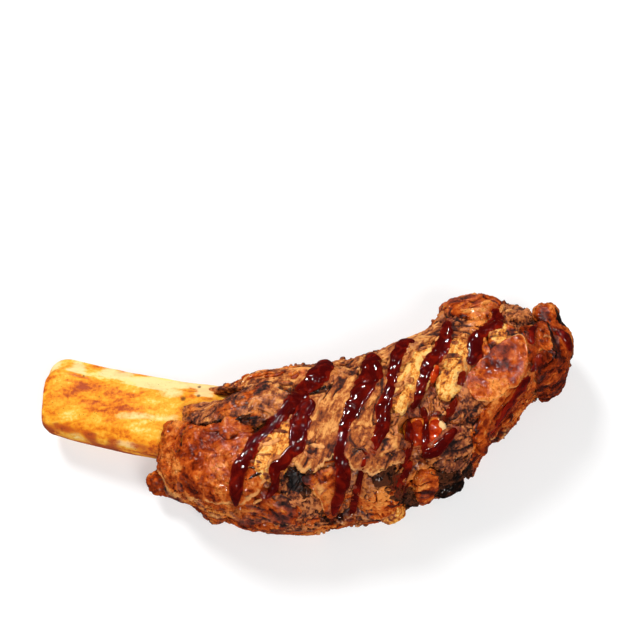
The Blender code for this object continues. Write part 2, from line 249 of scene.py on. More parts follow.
class Wire:
    # one socket of a material; sums and products of wires add Math nodes
    def __init__(self, tree, socket):
        self.tree, self.socket = tree, socket

    def math(self, operation, first, second):
        return addNode(self.tree, "ShaderNodeMath", dict(operation=operation), 0, **{"0": first, "1": second})

    def __add__(self, other):
        return self.math("ADD", self, other)

    def __sub__(self, other):
        return self.math("SUBTRACT", self, other)

    def __rsub__(self, other):
        return self.math("SUBTRACT", other, self)

    def __mul__(self, other):
        return self.math("MULTIPLY", self, other)

    __radd__ = __add__
    __rmul__ = __mul__

    def step(self, low, high):
        # 0 below low, 1 above high, smooth between
        return addNode(self.tree, "ShaderNodeMapRange", dict(interpolation_type="SMOOTHSTEP"), 0,
                       **{"0": self, "1": low, "2": high, "3": 0.0, "4": 1.0})


def addNode(tree, kind, settings=None, output=0, **values):
    # any node: its settings first, then values or links by socket name or number
    made = tree.nodes.new(kind)
    for key, value in (settings or {}).items():
        if key == "stops":
            while len(made.color_ramp.elements) < len(value):
                made.color_ramp.elements.new(1.0)
            for element, (position, colour) in zip(made.color_ramp.elements, value):
                element.position, element.color = position, (*colour, 1.0)
        else:
            setattr(made, key, value)
    for key, value in values.items():
        key = key.replace("_", " ")
        socket = made.inputs[int(key)] if key.isdigit() else made.inputs[key]
        if isinstance(value, Wire):
            tree.links.new(value.socket, socket)
        else:
            socket.default_value = value
    return Wire(tree, made.outputs[output])


class Finish:
    # one material with its Principled shader; colours are linear red, green, blue
    def __init__(self, name, **constants):
        self.material = bpy.data.materials.new(name)
        self.material.use_nodes = True
        self.tree = self.material.node_tree
        self.shader = self.tree.nodes["Principled BSDF"]
        for key, value in constants.items():
            self.shader.inputs[key.replace("_", " ")].default_value = value
        self.place = self.node("ShaderNodeTexCoord", output=3)

    def node(self, kind, settings=None, output=0, **values):
        return addNode(self.tree, kind, settings, output, **values)

    def noise(self, size, detail=4.0, place=None, warp=0.0):
        # size is the width of one lump, in millimetres; the value swings evenly about 0
        return self.node("ShaderNodeTexNoise", Vector=place or self.place, Scale=0.5 / (size * mm),
                         Detail=detail, Roughness=0.58, Distortion=warp) - 0.5

    def masks(self, label):
        # the three channels of a colour attribute
        colour = self.node("ShaderNodeAttribute", dict(attribute_name=label))
        return [self.node("ShaderNodeSeparateColor", output=k, Color=colour) for k in range(3)]

    def blend(self, amount, low, high):
        low, high = [value if isinstance(value, Wire) else (*value, 1.0) for value in (low, high)]
        return self.node("ShaderNodeMix", dict(data_type="RGBA"), 2, **{"0": amount, "6": low, "7": high})

    def ramp(self, value, stops):
        return self.node("ShaderNodeValToRGB", dict(stops=stops), Fac=value)

    def bump(self, height, distance, strength=1.0, over=None):
        values = dict(Height=height, Distance=distance * mm, Strength=strength)
        if over is not None:
            values["Normal"] = over
        return self.node("ShaderNodeBump", **values)

    def set(self, **links):
        for key, value in links.items():
            self.tree.links.new(value.socket, self.shader.inputs[key.replace("_", " ")])
        return self.material


fleshColours = dict(      # each from its darkest creases to its palest edges
    brown=((0.06, (0.012, 0.0015, 0.0006)), (0.34, (0.085, 0.013, 0.0025)), (0.60, (0.25, 0.050, 0.009)),
           (0.94, (0.58, 0.18, 0.042))),
    tan=((0.06, (0.036, 0.004, 0.0006)), (0.32, (0.20, 0.034, 0.004)), (0.60, (0.44, 0.106, 0.014)),
         (0.96, (0.82, 0.35, 0.085))),
    glaze=((0.08, (0.050, 0.003, 0.0004)), (0.36, (0.25, 0.024, 0.002)), (0.62, (0.53, 0.086, 0.008)),
           (0.92, (0.84, 0.27, 0.050))),
    gold=((0.06, (0.12, 0.015, 0.001)), (0.34, (0.50, 0.11, 0.007)), (0.60, (0.80, 0.29, 0.030)),
          (0.92, (0.95, 0.56, 0.15))),
    char=((0.10, (0.0015, 0.0008, 0.0006)), (0.50, (0.010, 0.0033, 0.0018)), (1.00, (0.085, 0.023, 0.009))),
)
# the lip colour serves pale lips and painted highlight on raised edges; the darkest colour is painted shade
# in creases and cracks
thinColours = dict(lip=(0.82, 0.38, 0.12), hollow=(0.020, 0.002, 0.0008), film=(0.20, 0.008, 0.0012))


def meatFinish():
    # brown meat, blended by masks to tan fibre, orange glaze, gold fat, char, pale lips and red film; painted
    # shade in creases, painted highlight on raised edges
    f = Finish("browned meat", Specular_IOR_Level=0.5, IOR=1.5)
    char, tan, glaze = f.masks("tone")
    lip, hollow, film = f.masks("state")
    shade, gold, fibre = f.masks("drift")
    alongGrain = f.node("ShaderNodeMapping", dict(vector_type="TEXTURE"), Vector=f.place,
                        Rotation=(0.0, 0.0, math.radians(70)), Scale=(4.5, 1.0, 1.0))
    strand = f.noise(1.0, detail=3.0, place=alongGrain)
    broad, middle = f.noise(7.0, detail=2.0), f.noise(2.4, warp=0.7)
    fine, speck = f.noise(0.9, detail=3.0), f.noise(0.42, detail=2.0)
    mottle = middle * 1.1 + fine * 0.8
    # place on the colour ramps: random tone, lighter at pale lips and painted highlights, darker with painted
    # shade in creases
    light = 0.50 + broad * 1.4 + middle * 1.5 + (shade - 0.5) * 0.4 + lip * 0.25 - hollow * 0.55
    crumbly = light + fine * 1.3 + speck * 0.8 + strand * 1.3 + (fibre - 0.5) * 0.8
    stringy = light + fine * 1.0 + strand * 1.4 + (fibre - 0.5) * 0.8 - 0.08
    smooth = light + fine * 0.6 + (fibre - 0.5) * 0.3
    colour = f.ramp(crumbly, fleshColours["brown"])
    colour = f.blend((tan + mottle * 0.7).step(0.35, 0.65), colour, f.ramp(stringy, fleshColours["tan"]))
    colour = f.blend((glaze + mottle * 0.5).step(0.35, 0.65), colour, f.ramp(smooth, fleshColours["glaze"]))
    colour = f.blend((gold + mottle * 0.6).step(0.38, 0.62), colour, f.ramp(crumbly, fleshColours["gold"]))
    # pale lips of the flaps, together with painted highlight on raised edges
    colour = f.blend((lip + fine * 0.8).step(0.5, 0.85) * 0.75, colour, thinColours["lip"])
    # char, and painted shadow in some gaps and crevices
    burnt = (char + middle * 1.4 + fine * 1.0).step(0.42, 0.62)
    colour = f.blend(burnt, colour, f.ramp(crumbly, fleshColours["char"]))
    # painted shade: creases, hollows and cracks go near black
    colour = f.blend((hollow + fine * 0.6).step(0.45, 0.95) * 0.9, colour, thinColours["hollow"])
    colour = f.blend((film + mottle * 0.8).step(0.45, 0.85) * 0.8, colour, thinColours["film"])
    wet = 0.25 + glaze * 0.8 + film * 0.6 + burnt * 0.6 + broad * 1.6 + middle - tan * 0.6 - gold * 0.4
    wet = (wet - hollow * 0.4).step(0.15, 0.85)
    cells = f.node("ShaderNodeTexVoronoi", Vector=f.place, Scale=1.0 / (1.4 * mm))
    blister = (1.0 - cells.step(0.10, 0.50)) * (broad + middle * 0.5).step(0.0, 0.10) * glaze.step(0.3, 0.7)
    dry = 0.20 + tan * 0.5 + gold * 0.5 - glaze * 0.16      # wet places have no fine grain
    normal = f.bump((fine + speck * 0.6) * dry, 0.9, 0.9)
    normal = f.bump(strand * (1.0 - glaze * 0.9), 0.6, 0.6, over=normal)
    ripple = f.noise(1.7, detail=0.0) * (0.5 + broad.step(0.0, 0.10) * 1.5)      # sparkles come in clusters
    normal = f.bump(ripple, 0.7, 0.9, over=normal)
    normal = f.bump(f.noise(3.2, detail=0.0, warp=0.5), 1.3, 0.9, over=normal)
    normal = f.bump(blister, 0.5, 1.0, over=normal)
    return f.set(Base_Color=colour, Roughness=0.80 - wet * 0.68, Normal=normal)


sauceColours = dict(thin=(0.24, 0.008, 0.0015), deep=(0.060, 0.0010, 0.0008), lit=(0.30, 0.008, 0.0015),
                    brightest=(0.66, 0.065, 0.005))


def sauceFinish():
    # thick dark maroon sauce, redder where the layer is thin, bright red where light comes through
    f = Finish("barbecue sauce", Specular_IOR_Level=0.5, IOR=1.45)
    thick, glow = f.masks("tone")[:2]
    streak, patch = f.noise(3.0, detail=3.0, warp=1.0), f.noise(1.6, detail=3.0)
    deep = (thick * 0.75 + streak * 2.2).step(0.05, 0.90)
    colour = f.blend(deep, sauceColours["thin"], sauceColours["deep"])
    bright = f.blend((patch + 0.5).step(0.30, 0.70), sauceColours["lit"], sauceColours["brightest"])
    colour = f.blend((glow + streak).step(0.3, 0.9), colour, bright)
    normal = f.bump(f.noise(2.2, detail=1.0), 0.6, 0.8)
    return f.set(Base_Color=colour, Roughness=0.08 + patch * 0.12, Normal=normal)


boneColours = ((0.10, (0.42, 0.055, 0.002)), (0.30, (0.72, 0.17, 0.003)), (0.50, (0.86, 0.33, 0.012)),
               (0.70, (0.93, 0.46, 0.040)), (0.92, (0.98, 0.70, 0.20)))
boneMarks = dict(cream=(0.96, 0.70, 0.33), stain=(0.50, 0.075, 0.004), burnt=(0.13, 0.016, 0.003),
                 pore=(0.09, 0.018, 0.003))


def boneFinish():
    # roasted bone: amber with cream patches, red-brown stains along edges, dark pores
    f = Finish("roasted bone", Specular_IOR_Level=0.2, IOR=1.5, Coat_Roughness=0.25)
    stain, cream, pore = f.masks("tone")
    stretched = f.node("ShaderNodeMapping", Vector=f.place, Scale=(0.4, 1.0, 1.0))
    broad, middle = f.noise(8.0, place=stretched), f.noise(2.8, place=stretched, warp=0.6)
    fine = f.noise(0.8, detail=3.0)
    mottle = middle * 1.1 + fine * 0.7
    light = 0.46 + broad * 2.2 + middle * 1.5 + fine * 0.8 + cream * 0.30 - stain * 0.30
    colour = f.ramp(light, boneColours)
    colour = f.blend((cream + mottle * 0.6).step(0.45, 0.85) * 0.75, colour, boneMarks["cream"])
    colour = f.blend((stain + mottle * 0.9).step(0.45, 0.95), colour, boneMarks["stain"])
    colour = f.blend((stain + mottle * 1.1).step(0.90, 1.25), colour, boneMarks["burnt"])
    cells = f.node("ShaderNodeTexVoronoi", Vector=f.place, Scale=1.0 / (1.7 * mm))
    dot = (1.0 - cells.step(0.06, 0.17)) * f.noise(4.0).step(-0.02, 0.10)
    colour = f.blend((dot + pore).step(0.3, 0.9) * 0.85, colour, boneMarks["pore"])
    normal = f.bump(fine, 0.16, 0.8)
    normal = f.bump(1.0 - dot, 0.3, 0.8, over=normal)
    normal = f.bump(middle, 0.5, 0.6, over=normal)
    return f.set(Base_Color=colour, Roughness=0.55 + middle * 0.5, Coat_Weight=stain.step(0.2, 1.0) * 0.3,
                 Normal=normal)


# The bone

bone = dict(
    left=-123.0, right=74.0, width=38.0, rightWidth=26.0, taperFrom=0.0, thickness=16.0,
    leftBend=450.0, rightBend=170.0, nearX=24.0, nearY=-14.5, leftHeight=13.0, climb=0.09,
    squareness=3.2, ridge=9.0, bevelSlope=0.8, rimNear=5.0, rimFar=12.0, rimThick=2.5,
    along=300, around=220, rimRows=16, lumpSize=9.0, lumpHeight=0.45, nickSize=2.2, nickHeight=0.16,
    grooveDepth=0.5, proudest=0.15, pitDepth=0.5,
    pits=((-57, 1.2, 1.6), (-50, 2.6, 1.2), (-50.5, 9.0, 1.1), (-96, 3, 0.9), (-104, 14, 0.8)),
)


def boneAxis(x):
    # middle line: Y is a parabola on each side of its nearest point, Z climbs evenly
    fromNear = x - bone["nearX"]
    bend = np.where(fromNear < 0.0, bone["leftBend"], bone["rightBend"])
    return bone["nearY"] + fromNear**2 / (2.0 * bend), bone["leftHeight"] + (x - bone["left"]) * bone["climb"]


def boneHalfWidth(x):
    # even at the left, then narrowing in a straight line to the right end
    run = np.clip((x - bone["taperFrom"]) / (bone["right"] - bone["taperFrom"]), 0.0, 1.0)
    return 0.5 * (bone["width"] + (bone["rightWidth"] - bone["width"]) * run)


def boneTop(x, y):
    # height of the broad upper face above a point in plan
    axisY, axisZ = boneAxis(x)
    share = np.clip(np.abs(y - axisY) / boneHalfWidth(x), 0.0, 0.98)
    power = bone["squareness"]
    return axisZ + 0.5 * bone["thickness"] * (1.0 - share**power) ** (1.0 / power)


def bonePoints():
    # rings square to X: a squared oval with a flat bevel on its far upper edge, and at
    # each end a flat face inside a quarter-round rim, wider at the far corner
    rows, around, rimRows = bone["along"], bone["around"], bone["rimRows"]
    row = np.arange(rows)[:, None]
    angle = np.linspace(0.0, 2.0 * np.pi, around, endpoint=False)[None, :]
    fromEnd = np.minimum(row, rows - 1 - row)
    rim = np.clip(fromEnd / rimRows, 0.0, 1.0) * np.pi / 2
    across, up = superellipse(angle, bone["squareness"])
    corner = bone["rimNear"] + (bone["rimFar"] - bone["rimNear"]) * smoothStep(0.5 + 0.5 * across)
    run = np.clip((row - rimRows) / (rows - 1 - 2 * rimRows), 0.0, 1.0)
    x = bone["left"] + corner + run * (bone["right"] - bone["left"] - 2.0 * corner)
    x = np.where(row <= rimRows, bone["left"] + corner * (1.0 - np.cos(rim)), x)
    x = np.where(row >= rows - 1 - rimRows, bone["right"] - corner * (1.0 - np.cos(rim)), x)
    lost = 1.0 - np.sin(rim)
    halfWidth = boneHalfWidth(x) - corner * lost
    halfThick = 0.5 * bone["thickness"] - bone["rimThick"] * lost + 0.0 * x
    across, up = across * halfWidth, up * halfThick
    pastRidge = across - (halfWidth - bone["ridge"])
    up = np.where(pastRidge > 0.0, np.minimum(up, halfThick - pastRidge * bone["bevelSlope"]), up)
    axisY, axisZ = boneAxis(x)
    return np.stack([x, axisY + across, axisZ + up], -1), pastRidge, up / halfThick


def makeBone(finish):
    # the shaft: relief along its grain, a broken groove and stain below the ridge, cream patches, pits
    points, pastRidge, up = bonePoints()
    normals = outward(points)
    x, y = points[..., 0], points[..., 1]
    onTop = up > 0
    relief = bone["lumpHeight"] * fractal(points * (0.4, 1.0, 1.0), bone["lumpSize"], 4, 31)
    relief = relief + bone["nickHeight"] * creased(points, bone["nickSize"], 2, 35)
    groove = np.exp(-((pastRidge + 0.8) / 0.9) ** 2) * (0.5 + 0.5 * swirl(points, 16.0, 37))
    relief = np.minimum(relief - bone["grooveDepth"] * groove * onTop, bone["proudest"])
    points = points + normals * relief[..., None]
    broken = smoothStep(0.45 + 1.8 * swirl(points, 15.0, 41))
    stain = 0.80 * np.exp(-((pastRidge + 0.6) / 1.2) ** 2) * onTop * broken
    leftEnd = smoothStep((-112 - x) / 12) * smoothStep(0.5 + swirl(points, 9.0, 43))
    nearEdge = smoothStep((boneAxis(x)[0] - y) / (0.5 * bone["width"]) * 5 - 3.4)
    stain = np.maximum(stain, np.maximum(leftEnd, nearEdge * smoothStep(0.6 + 1.3 * swirl(points, 9.0, 44))))
    cream = smoothStep((pastRidge + 0.2) / 1.4) * (up > -0.2) * (0.72 + 1.2 * swirl(points, 8.0, 48))
    cream = np.maximum(cream, 0.75 * smoothStep(2.6 * swirl(points * (0.5, 1.0, 1.0), 9.0, 47) - 0.1) * onTop)
    pore = np.zeros(x.shape)
    for px, py, radius in bone["pits"]:
        pore = np.maximum(pore, np.exp(-(np.hypot(x - px, y - py) / radius) ** 2) * onTop)
    points -= normals * (bone["pitDepth"] * pore)[..., None]
    ground.lay(points)
    return makePiece("bone_shaft", points, finish, dict(tone=(stain, cream, pore)), ("bone",))


# The meat's body

meat = dict(
    stations=(   # X, nearest edge, farthest edge, top
        (-65, -36, -7, 29), (-60, -40, -4, 32), (-54, -43, -3, 35), (-47, -46, 0, 38), (-40, -48, 6, 40),
        (-32, -50, 9, 42), (-18, -54, 13, 44), (0, -56, 15, 46), (10, -53, 16, 47), (20, -49, 18, 47),
        (30, -49, 21, 47), (45, -42, 30, 46), (56, -39, 34, 46), (63, -37, 42, 46), (72, -30, 48, 45),
        (82, -16, 49, 44), (92, -4, 46, 43), (102, 6, 42, 40), (112, 12, 40, 36), (120, 19, 37, 30),
        (125, 24, 31, 23)),
    squareness=2.4, waist=0.40, farLift=5.0, sag=0.50, endSharpness=14, along=438, around=226, topShare=0.76,
    lumpSize=17.0, lumpHeight=3.4, cragSize=9.0, cragHeight=2.2, fibreSize=1.9, fibreHeight=0.75,
    crumbSize=3.2, crumbHeight=1.1, crackDepth=0.9,
    ledges=(   # line of the lip in plan, height, softness
        (((-64, -31), (-57, -37), (-45, -41), (-30, -45)), 3.6, 1.2),
        (((-6, -35), (3, -36), (14, -32), (27, -36), (40, -27)), 3.6, 1.2),
        (((66, -16), (76, -10), (88, 0), (97, 10)), 2.6, 1.4)),
    creases=(   # line in plan, depth, half width
        (((-56, -14), (-41, -17), (-20, -20)), 3.4, 3.0), (((-8, 0), (4, -1), (17, -2)), 5.0, 3.6),
        (((-16, -44), (-3, -42), (10, -46)), 3.0, 3.5), (((42, -36), (54, -34), (66, -30)), 3.2, 5.0),
        (((101, 30), (106, 40), (108, 50)), 5.0, 3.0), (((111, 38), (109, 28), (111, 18)), 4.0, 1.8)),
    tongueNear=((-72, -12), (-62, -9), (-57, -6.5), (-51, -8.5), (-45, -8.5), (-37, -5), (-29, -1), (-25, 1)),
    tongueFar=((-72, 30), (-46, 9), (-43, 4.5), (-36, 3.5), (-25, 2.5)), tongueTip=-26.0,
    window=(49.0, -19.0, 10.0, 5.5), saddle=(26.0, 15.0, 5.0), bareDepth=2.0,
)
scales = dict(count=190, step=0.9, tilt=0.10, soft=0.45, grainAngle=0.35, grainSpread=0.55)

# burnt places (centre x, centre y, radius x, radius y); some are painted shadow: the band at (-36, -15.5) in
# the gap under the grey strip, the pit at (-51, -15) at its end, and the line at (110, 28) in the crevice
# between the right pieces
charAndShadowPlaces = ((-24, -41, 4, 5), (-3, -41, 6, 6), (33, -37, 7, 6), (20, -33, 5, 4), (62, -36, 10, 5),
              (68, -30, 6, 3), (2, -1, 12, 3), (117, 40, 3, 5), (66, 6, 3, 7), (-36, -15.5, 17, 1.8),
              (-51, -15, 2.4, 1.8), (46, -44, 4, 4), (40, -43, 5, 4), (101, 26, 3, 4), (10, -52, 5, 3),
              (56, -14, 5, 2.5), (110, 28, 1.1, 8))
tanPlaces = ((8, -18, 14, 14), (26, -6, 9, 20), (42, 8, 8, 14), (-14, -26, 6, 14), (20, 14, 10, 6),
             (60, 22, 10, 12), (80, 40, 12, 6))
glazePlaces = ((-48, -32, 20, 17), (-20, 8, 20, 6), (92, 0, 14, 8), (116, 14, 8, 10), (78, -22, 8, 7),
               (36, -48, 8, 5), (76, 42, 10, 10), (-26, -51, 16, 6), (82, 20, 10, 14), (50, -38, 6, 5))


def meatForm(share, angle):
    # rings of an uneven squared oval along X that shrink to a point at the ends; the
    # underside is pressed flat on the floor
    places = [row[0] for row in meat["stations"]]
    middle, reach = 0.5 * (places[0] + places[-1]), 0.5 * (places[-1] - places[0])
    even = 2.0 * share - 1.0
    spread = even + 0.10 * np.sin(np.pi * even)
    x = middle + reach * spread
    closing = np.sqrt(np.clip(1.0 - np.abs(spread) ** meat["endSharpness"], 0.0, 1.0))
    near, far, top = [hermite(x, places, [row[k] for row in meat["stations"]]) for k in (1, 2, 3)]
    across, up = superellipse(angle, meat["squareness"])
    y = 0.5 * (near + far) + 0.5 * (far - near) * across * closing
    waist = meat["waist"] * top + meat["farLift"] * across
    z = waist + np.where(up > 0.0, (top - waist) * up, meat["sag"] * top * up) * closing
    return np.stack([x + 0.0 * y, y, np.maximum(z, 0.0)], -1)


def broadRelief(points, normals):
    # the lumps, crags, ledges, creases and saddle that give the meat its main forms
    x, y = points[..., 0], points[..., 1]
    upward = smoothStep((normals[..., 2] + 0.1) / 0.5)
    metres = points * mm
    height = swirl(metres, meat["lumpSize"] * mm, 3) * meat["lumpHeight"]
    height += (0.35 - np.abs(swirl(metres, meat["cragSize"] * mm, 8))) * meat["cragHeight"]
    height *= smoothStep((normals[..., 2] + 0.97) / 0.4)
    for line, rise, soft in meat["ledges"]:
        above = y - lineAt(x, line)
        step = smoothStep(above / soft + 0.5) * np.exp(-np.maximum(above, 0.0) / 14.0)
        reach = smoothStep((x - line[0][0] + 6) / 6) * smoothStep((line[-1][0] + 6 - x) / 6)
        height += step * rise * reach * upward
    for line, depth, half in meat["creases"]:
        height -= depth * np.exp(-(toLine(x, y, line) / half) ** 2) * upward
    cx, cy = meat["window"][:2]
    wide, deep, drop = meat["saddle"]
    return height - drop * np.exp(-((x - cx) / wide) ** 2 - ((y - cy) / deep) ** 2) * upward


def barePlaces(points):
    # 1 where the meat is cut back so that the bone shows
    x, y = points[..., 0], points[..., 1]
    ragged = 0.8 * swirl(points, 5.0, 51)
    near = smoothStep((y - lineAt(x, meat["tongueNear"]) + ragged) / 1.2)
    far = smoothStep((lineAt(x, meat["tongueFar"]) - y + ragged) / 1.2)
    tongue = near * far * smoothStep((meat["tongueTip"] - x) / 2.0)
    cx, cy, rx, ry = meat["window"]
    across = np.abs((x - cx) / rx) ** 3 + np.abs((y - cy) / ry) ** 3 + 0.4 * ragged
    return np.maximum(tongue, smoothStep((1.3 - across) / 0.5))


def tornScales(points, seed):
    # every point belongs to the nearest of many seed points, with a narrow soft border; each
    # scale so made has its own height, tilt, direction of grain and tone
    draw = np.random.default_rng(seed)
    count, soft = scales["count"], scales["soft"]
    flat = points.reshape(-1, 3)
    centres = flat[draw.integers(0, len(flat), count)]
    rise, tone = draw.uniform(-1.0, 1.0, count), draw.uniform(0.0, 1.0, count)
    tilt = draw.normal(0.0, scales["tilt"], (count, 3))
    grain = draw.normal(scales["grainAngle"], scales["grainSpread"], count)
    bent = warped(warped(flat, 8.0, 3.0, 55), 2.2, 0.8, 59)
    parts = []
    for some in np.array_split(bent, 1 + len(flat) // 20000):
        gap = some[:, None] - centres
        away = np.linalg.norm(gap * (0.55, 1.0, 1.0), axis=-1)
        weight = np.exp((away.min(axis=1, keepdims=True) - away) / soft)
        weight /= weight.sum(axis=1, keepdims=True)
        slope = np.clip(np.sum(gap * tilt, axis=-1), -1.5, 1.5)
        values = (rise * scales["step"] + slope, np.cos(2 * grain), np.sin(2 * grain), tone)
        parts.append(np.stack([np.sum(weight * value, axis=1) for value in values], -1))
    height, c, s, tone = np.moveaxis(np.concatenate(parts).reshape(*points.shape[:-1], 4), -1, 0)
    return height, 0.5 * np.arctan2(s, c), tone


class Ground:
    # height of whatever lies below each point in plan, kept on a square raster
    def __init__(self, low, high, cell):
        self.low, self.cell = np.array(low, float), cell
        self.height = np.zeros(tuple(np.ceil((np.array(high) - low) / cell).astype(int) + 1))

    def lay(self, points):
        # raise each cell to the highest point in it
        at = np.rint((points[..., :2] - self.low) / self.cell).astype(int).reshape(-1, 2)
        inside = np.all((at >= 0) & (at < self.height.shape), axis=1)
        np.maximum.at(self.height, tuple(at[inside].T), points[..., 2].ravel()[inside])
        best = self.height      # close pinholes between the points
        around = np.median([np.roll(best, (i, j), (0, 1)) for i in (-1, 0, 1) for j in (-1, 0, 1)], axis=0)
        self.height = np.where(around - best > 2.5, around, best)

    def blurred(self, radius):
        # a near-Gaussian blur: three running means along each axis
        values, half = self.height, max(1, int(round(radius / self.cell)))
        for axis in (0, 1):
            for _ in range(3):
                pad = [(half + 1, half) if k == axis else (0, 0) for k in (0, 1)]
                total = np.cumsum(np.pad(values, pad, mode="edge"), axis=axis)
                width = 2 * half + 1
                late, early = [slice(None)] * 2, [slice(None)] * 2
                late[axis], early[axis] = slice(width, None), slice(None, -width)
                values = (total[tuple(late)] - total[tuple(early)]) / width
        return values

    def sample(self, values, x, y):
        # straight between the four cells round each place
        at = (np.stack([x, y], -1) - self.low) / self.cell
        at = np.clip(at, 0, np.array(values.shape) - 1.001)
        cell = at.astype(int)
        i, j = cell[..., 0], cell[..., 1]
        fi, fj = at[..., 0] - i, at[..., 1] - j
        return ((values[i, j] * (1 - fi) + values[i + 1, j] * fi) * (1 - fj)
                + (values[i, j + 1] * (1 - fi) + values[i + 1, j + 1] * fi) * fj)

    def surface(self, x, y, radius):
        # height and normal of the blurred ground
        values, d = self.blurred(radius), 0.8
        slopeX = (self.sample(values, x + d, y) - self.sample(values, x - d, y)) / (2 * d)
        slopeY = (self.sample(values, x, y + d) - self.sample(values, x, y - d)) / (2 * d)
        normal = np.stack([-slopeX, -slopeY, np.ones(slopeX.shape)], -1)
        return self.sample(values, x, y), normal / np.linalg.norm(normal, axis=-1, keepdims=True)


ground = Ground(low=(-140, -80), high=(145, 75), cell=0.6)


def sauceFilm(x, y):
    # how much thin sauce has run over the meat: most beside the ropes
    nearest = np.min([toLine(x, y, spec["path"]) for spec in (*ropes.values(), *runs.values())], axis=0)
    return 0.72 * np.exp(-(nearest / 5.0) ** 2)


def splits(points, angle, seed):
    # long thin cracks along the grain, 1 in the crack: where stretched noise passes through zero
    along = turned(warped(points, 6.0, 1.2, seed), angle, 0.2)
    crack = 1.0 - smoothStep(np.abs(swirl(along, 5.5, seed + 4)) / 0.13)
    return crack * smoothStep(0.6 + 1.6 * swirl(points, 9.0, seed + 5))


def fleshMasks(points, relief, lip, tan, glaze, gold, tone, fibre, charShare=1.0, crack=0.0):
    # the colour attributes of any piece of meat
    x, y = points[..., 0], points[..., 1]
    # painted shade: darker where the relief lies below its blurred self, in creases and hollows, and in
    # cracks
    hollow = smoothStep((blurGrid(relief, 3) - relief) / 0.5 - 0.1)
    hollow = np.maximum(hollow, smoothStep((blurGrid(relief, 14) - relief) / 1.1 - 0.15))
    hollow = np.maximum(hollow, 0.9 * crack)
    # painted highlight: raised edges paler, carried in the same channel as the pale lips
    ridgeHighlight = smoothStep((relief - blurGrid(relief, 4)) / 0.45 - 0.35)
    # char, with painted shadow in some gaps and crevices
    burnt = 0.9 * spots(x, y, charAndShadowPlaces, 0.8 * fractal(points, 5.0, 4, 82))
    burnt = burnt + 0.30 * smoothStep(2.0 * swirl(points, 7.0, 83))
    film = sauceFilm(x, y) + 0.25 * swirl(points, 8.0, 86)
    return dict(tone=(burnt * charShare, tan, glaze), state=(np.maximum(lip, 0.7 * ridgeHighlight), hollow, film),
                drift=(tone, gold, fibre))


def makeMeat(finish):
    # the body: the plain form pushed out by broad relief, then by scales, fibres, crumbs and cracks, and
    # pressed below the bone's top where the bone is bare
    top = meat["topShare"]
    share = np.linspace(0.0, 1.0, meat["along"])[:, None]
    turn = np.linspace(0.0, 1.0, meat["around"], endpoint=False)[None, :]
    over = -0.25 + (np.pi + 0.5) * turn / top      # most of the ring lies on the upper side
    under = np.pi + 0.25 + (np.pi - 0.5) * (turn - top) / (1.0 - top)
    points = meatForm(0.004 + 0.992 * share, np.where(turn < top, over, under))
    normals = outward(points)
    points = points + normals * broadRelief(points, normals)[..., None]
    normals = outward(points)
    height, grain, tone = tornScales(points, 7)
    bend = warped(points, 8.0, 1.6, 61)
    fibre = creased(turned(bend, grain, 0.22), meat["fibreSize"], 3, 71)
    crumb = creased(bend, meat["crumbSize"], 4, 75)
    rough = smoothStep(0.5 + 1.2 * swirl(points, 15.0, 77))
    crack = splits(points, grain, 91)
    flank = smoothStep((0.5 - normals[..., 2]) / 0.5)
    craggy = 0.35 + 0.65 * np.maximum(rough, flank)
    fine = height + meat["fibreHeight"] * fibre + meat["crumbHeight"] * crumb * craggy
    fine = fine - meat["crackDepth"] * crack
    fine = fine * smoothStep((normals[..., 2] + 0.97) / 0.3)
    points = points + normals * fine[..., None]
    bare = barePlaces(points) * smoothStep((normals[..., 2] + 0.2) / 0.3)
    x, y, z = np.moveaxis(points, -1, 0)
    points[..., 2] = np.maximum(z + (np.minimum(z, boneTop(x, y) - meat["bareDepth"]) - z) * bare, 0.0)
    ground.lay(points)
    glaze = spots(x, y, glazePlaces, 0.4 * fractal(points, 7.0, 2, 81)) + 0.6 * (tone - 0.5) + 0.7 * flank
    tan = spots(x, y, tanPlaces, 0.4 * fractal(points, 7.0, 2, 84)) + 0.8 * (0.5 - tone)
    none = 0.0 * x
    masks = fleshMasks(points, fine, none, tan, glaze, none, tone - 0.1 * flank, 0.5 + fibre, crack=crack)
    makePiece("meat_body", points, finish, masks, ("meat",))
    return points, outward(points), grain, tone, bare


# Flaps: cushions on an outline in plan that lie over what is below them

def facing(turn, toward, spread):
    # above 0 where a bearing lies within the spread of a direction: cosine of the gap less that of the spread
    return np.cos(turn - np.radians(toward)) - np.cos(np.radians(spread))


def archProfile(rows, power, aspect):
    # a squared arch from the middle of its top, round its rim to the middle of its underside, in
    # even steps that are longer underneath
    t = np.linspace(0.0, np.pi, 2000)
    up, reach = superellipse(t, power)
    step = np.hypot(np.diff(reach), np.diff(up) * aspect) * np.where(t[1:] > np.pi / 2, 0.3, 1.0)
    run = np.concatenate([[0.0], np.cumsum(step)])
    even = np.linspace(0.004, 0.99, rows) * run[-1]
    return np.interp(even, run, reach)[:, None], np.interp(even, run, up)[:, None]


def outlineAt(corners, turn, smoothing):
    # the outline's middle, and the distance from there to its edge at each bearing
    middle = corners.mean(axis=0)
    gap = corners - middle
    radius = np.interp(turn, np.arctan2(gap[:, 1], gap[:, 0]), np.hypot(*gap.T), period=2 * np.pi)
    for _ in range(smoothing):
        radius = 0.5 * radius + 0.25 * (np.roll(radius, 1) + np.roll(radius, -1))
    return middle, radius


flapDefaults = dict(
    thick=2.6, follow=2.5, power=4.0, ragged=0.10, raggedSize=5.0, sunk=1.2, curl=0.0, curlTo=-90,
    curlSpread=100, dome=0.0, grain=(0.3, 0.8, 0.9), angle=15, tan=0.0, glaze=0.0, gold=0.0, char=1.0,
    lipTo=None, lipSpread=80, step=0.55, smoothing=10, shade=0.0, split=0.9, bone=False)
flapGrain = dict(thread=1.7, fold=7.0, wrinkle=2.6, lump=3.0)      # sizes in millimetres
flapCounts = dict(around=(60, 420), rows=(26, 110))      # fewest and most points of a flap's mesh

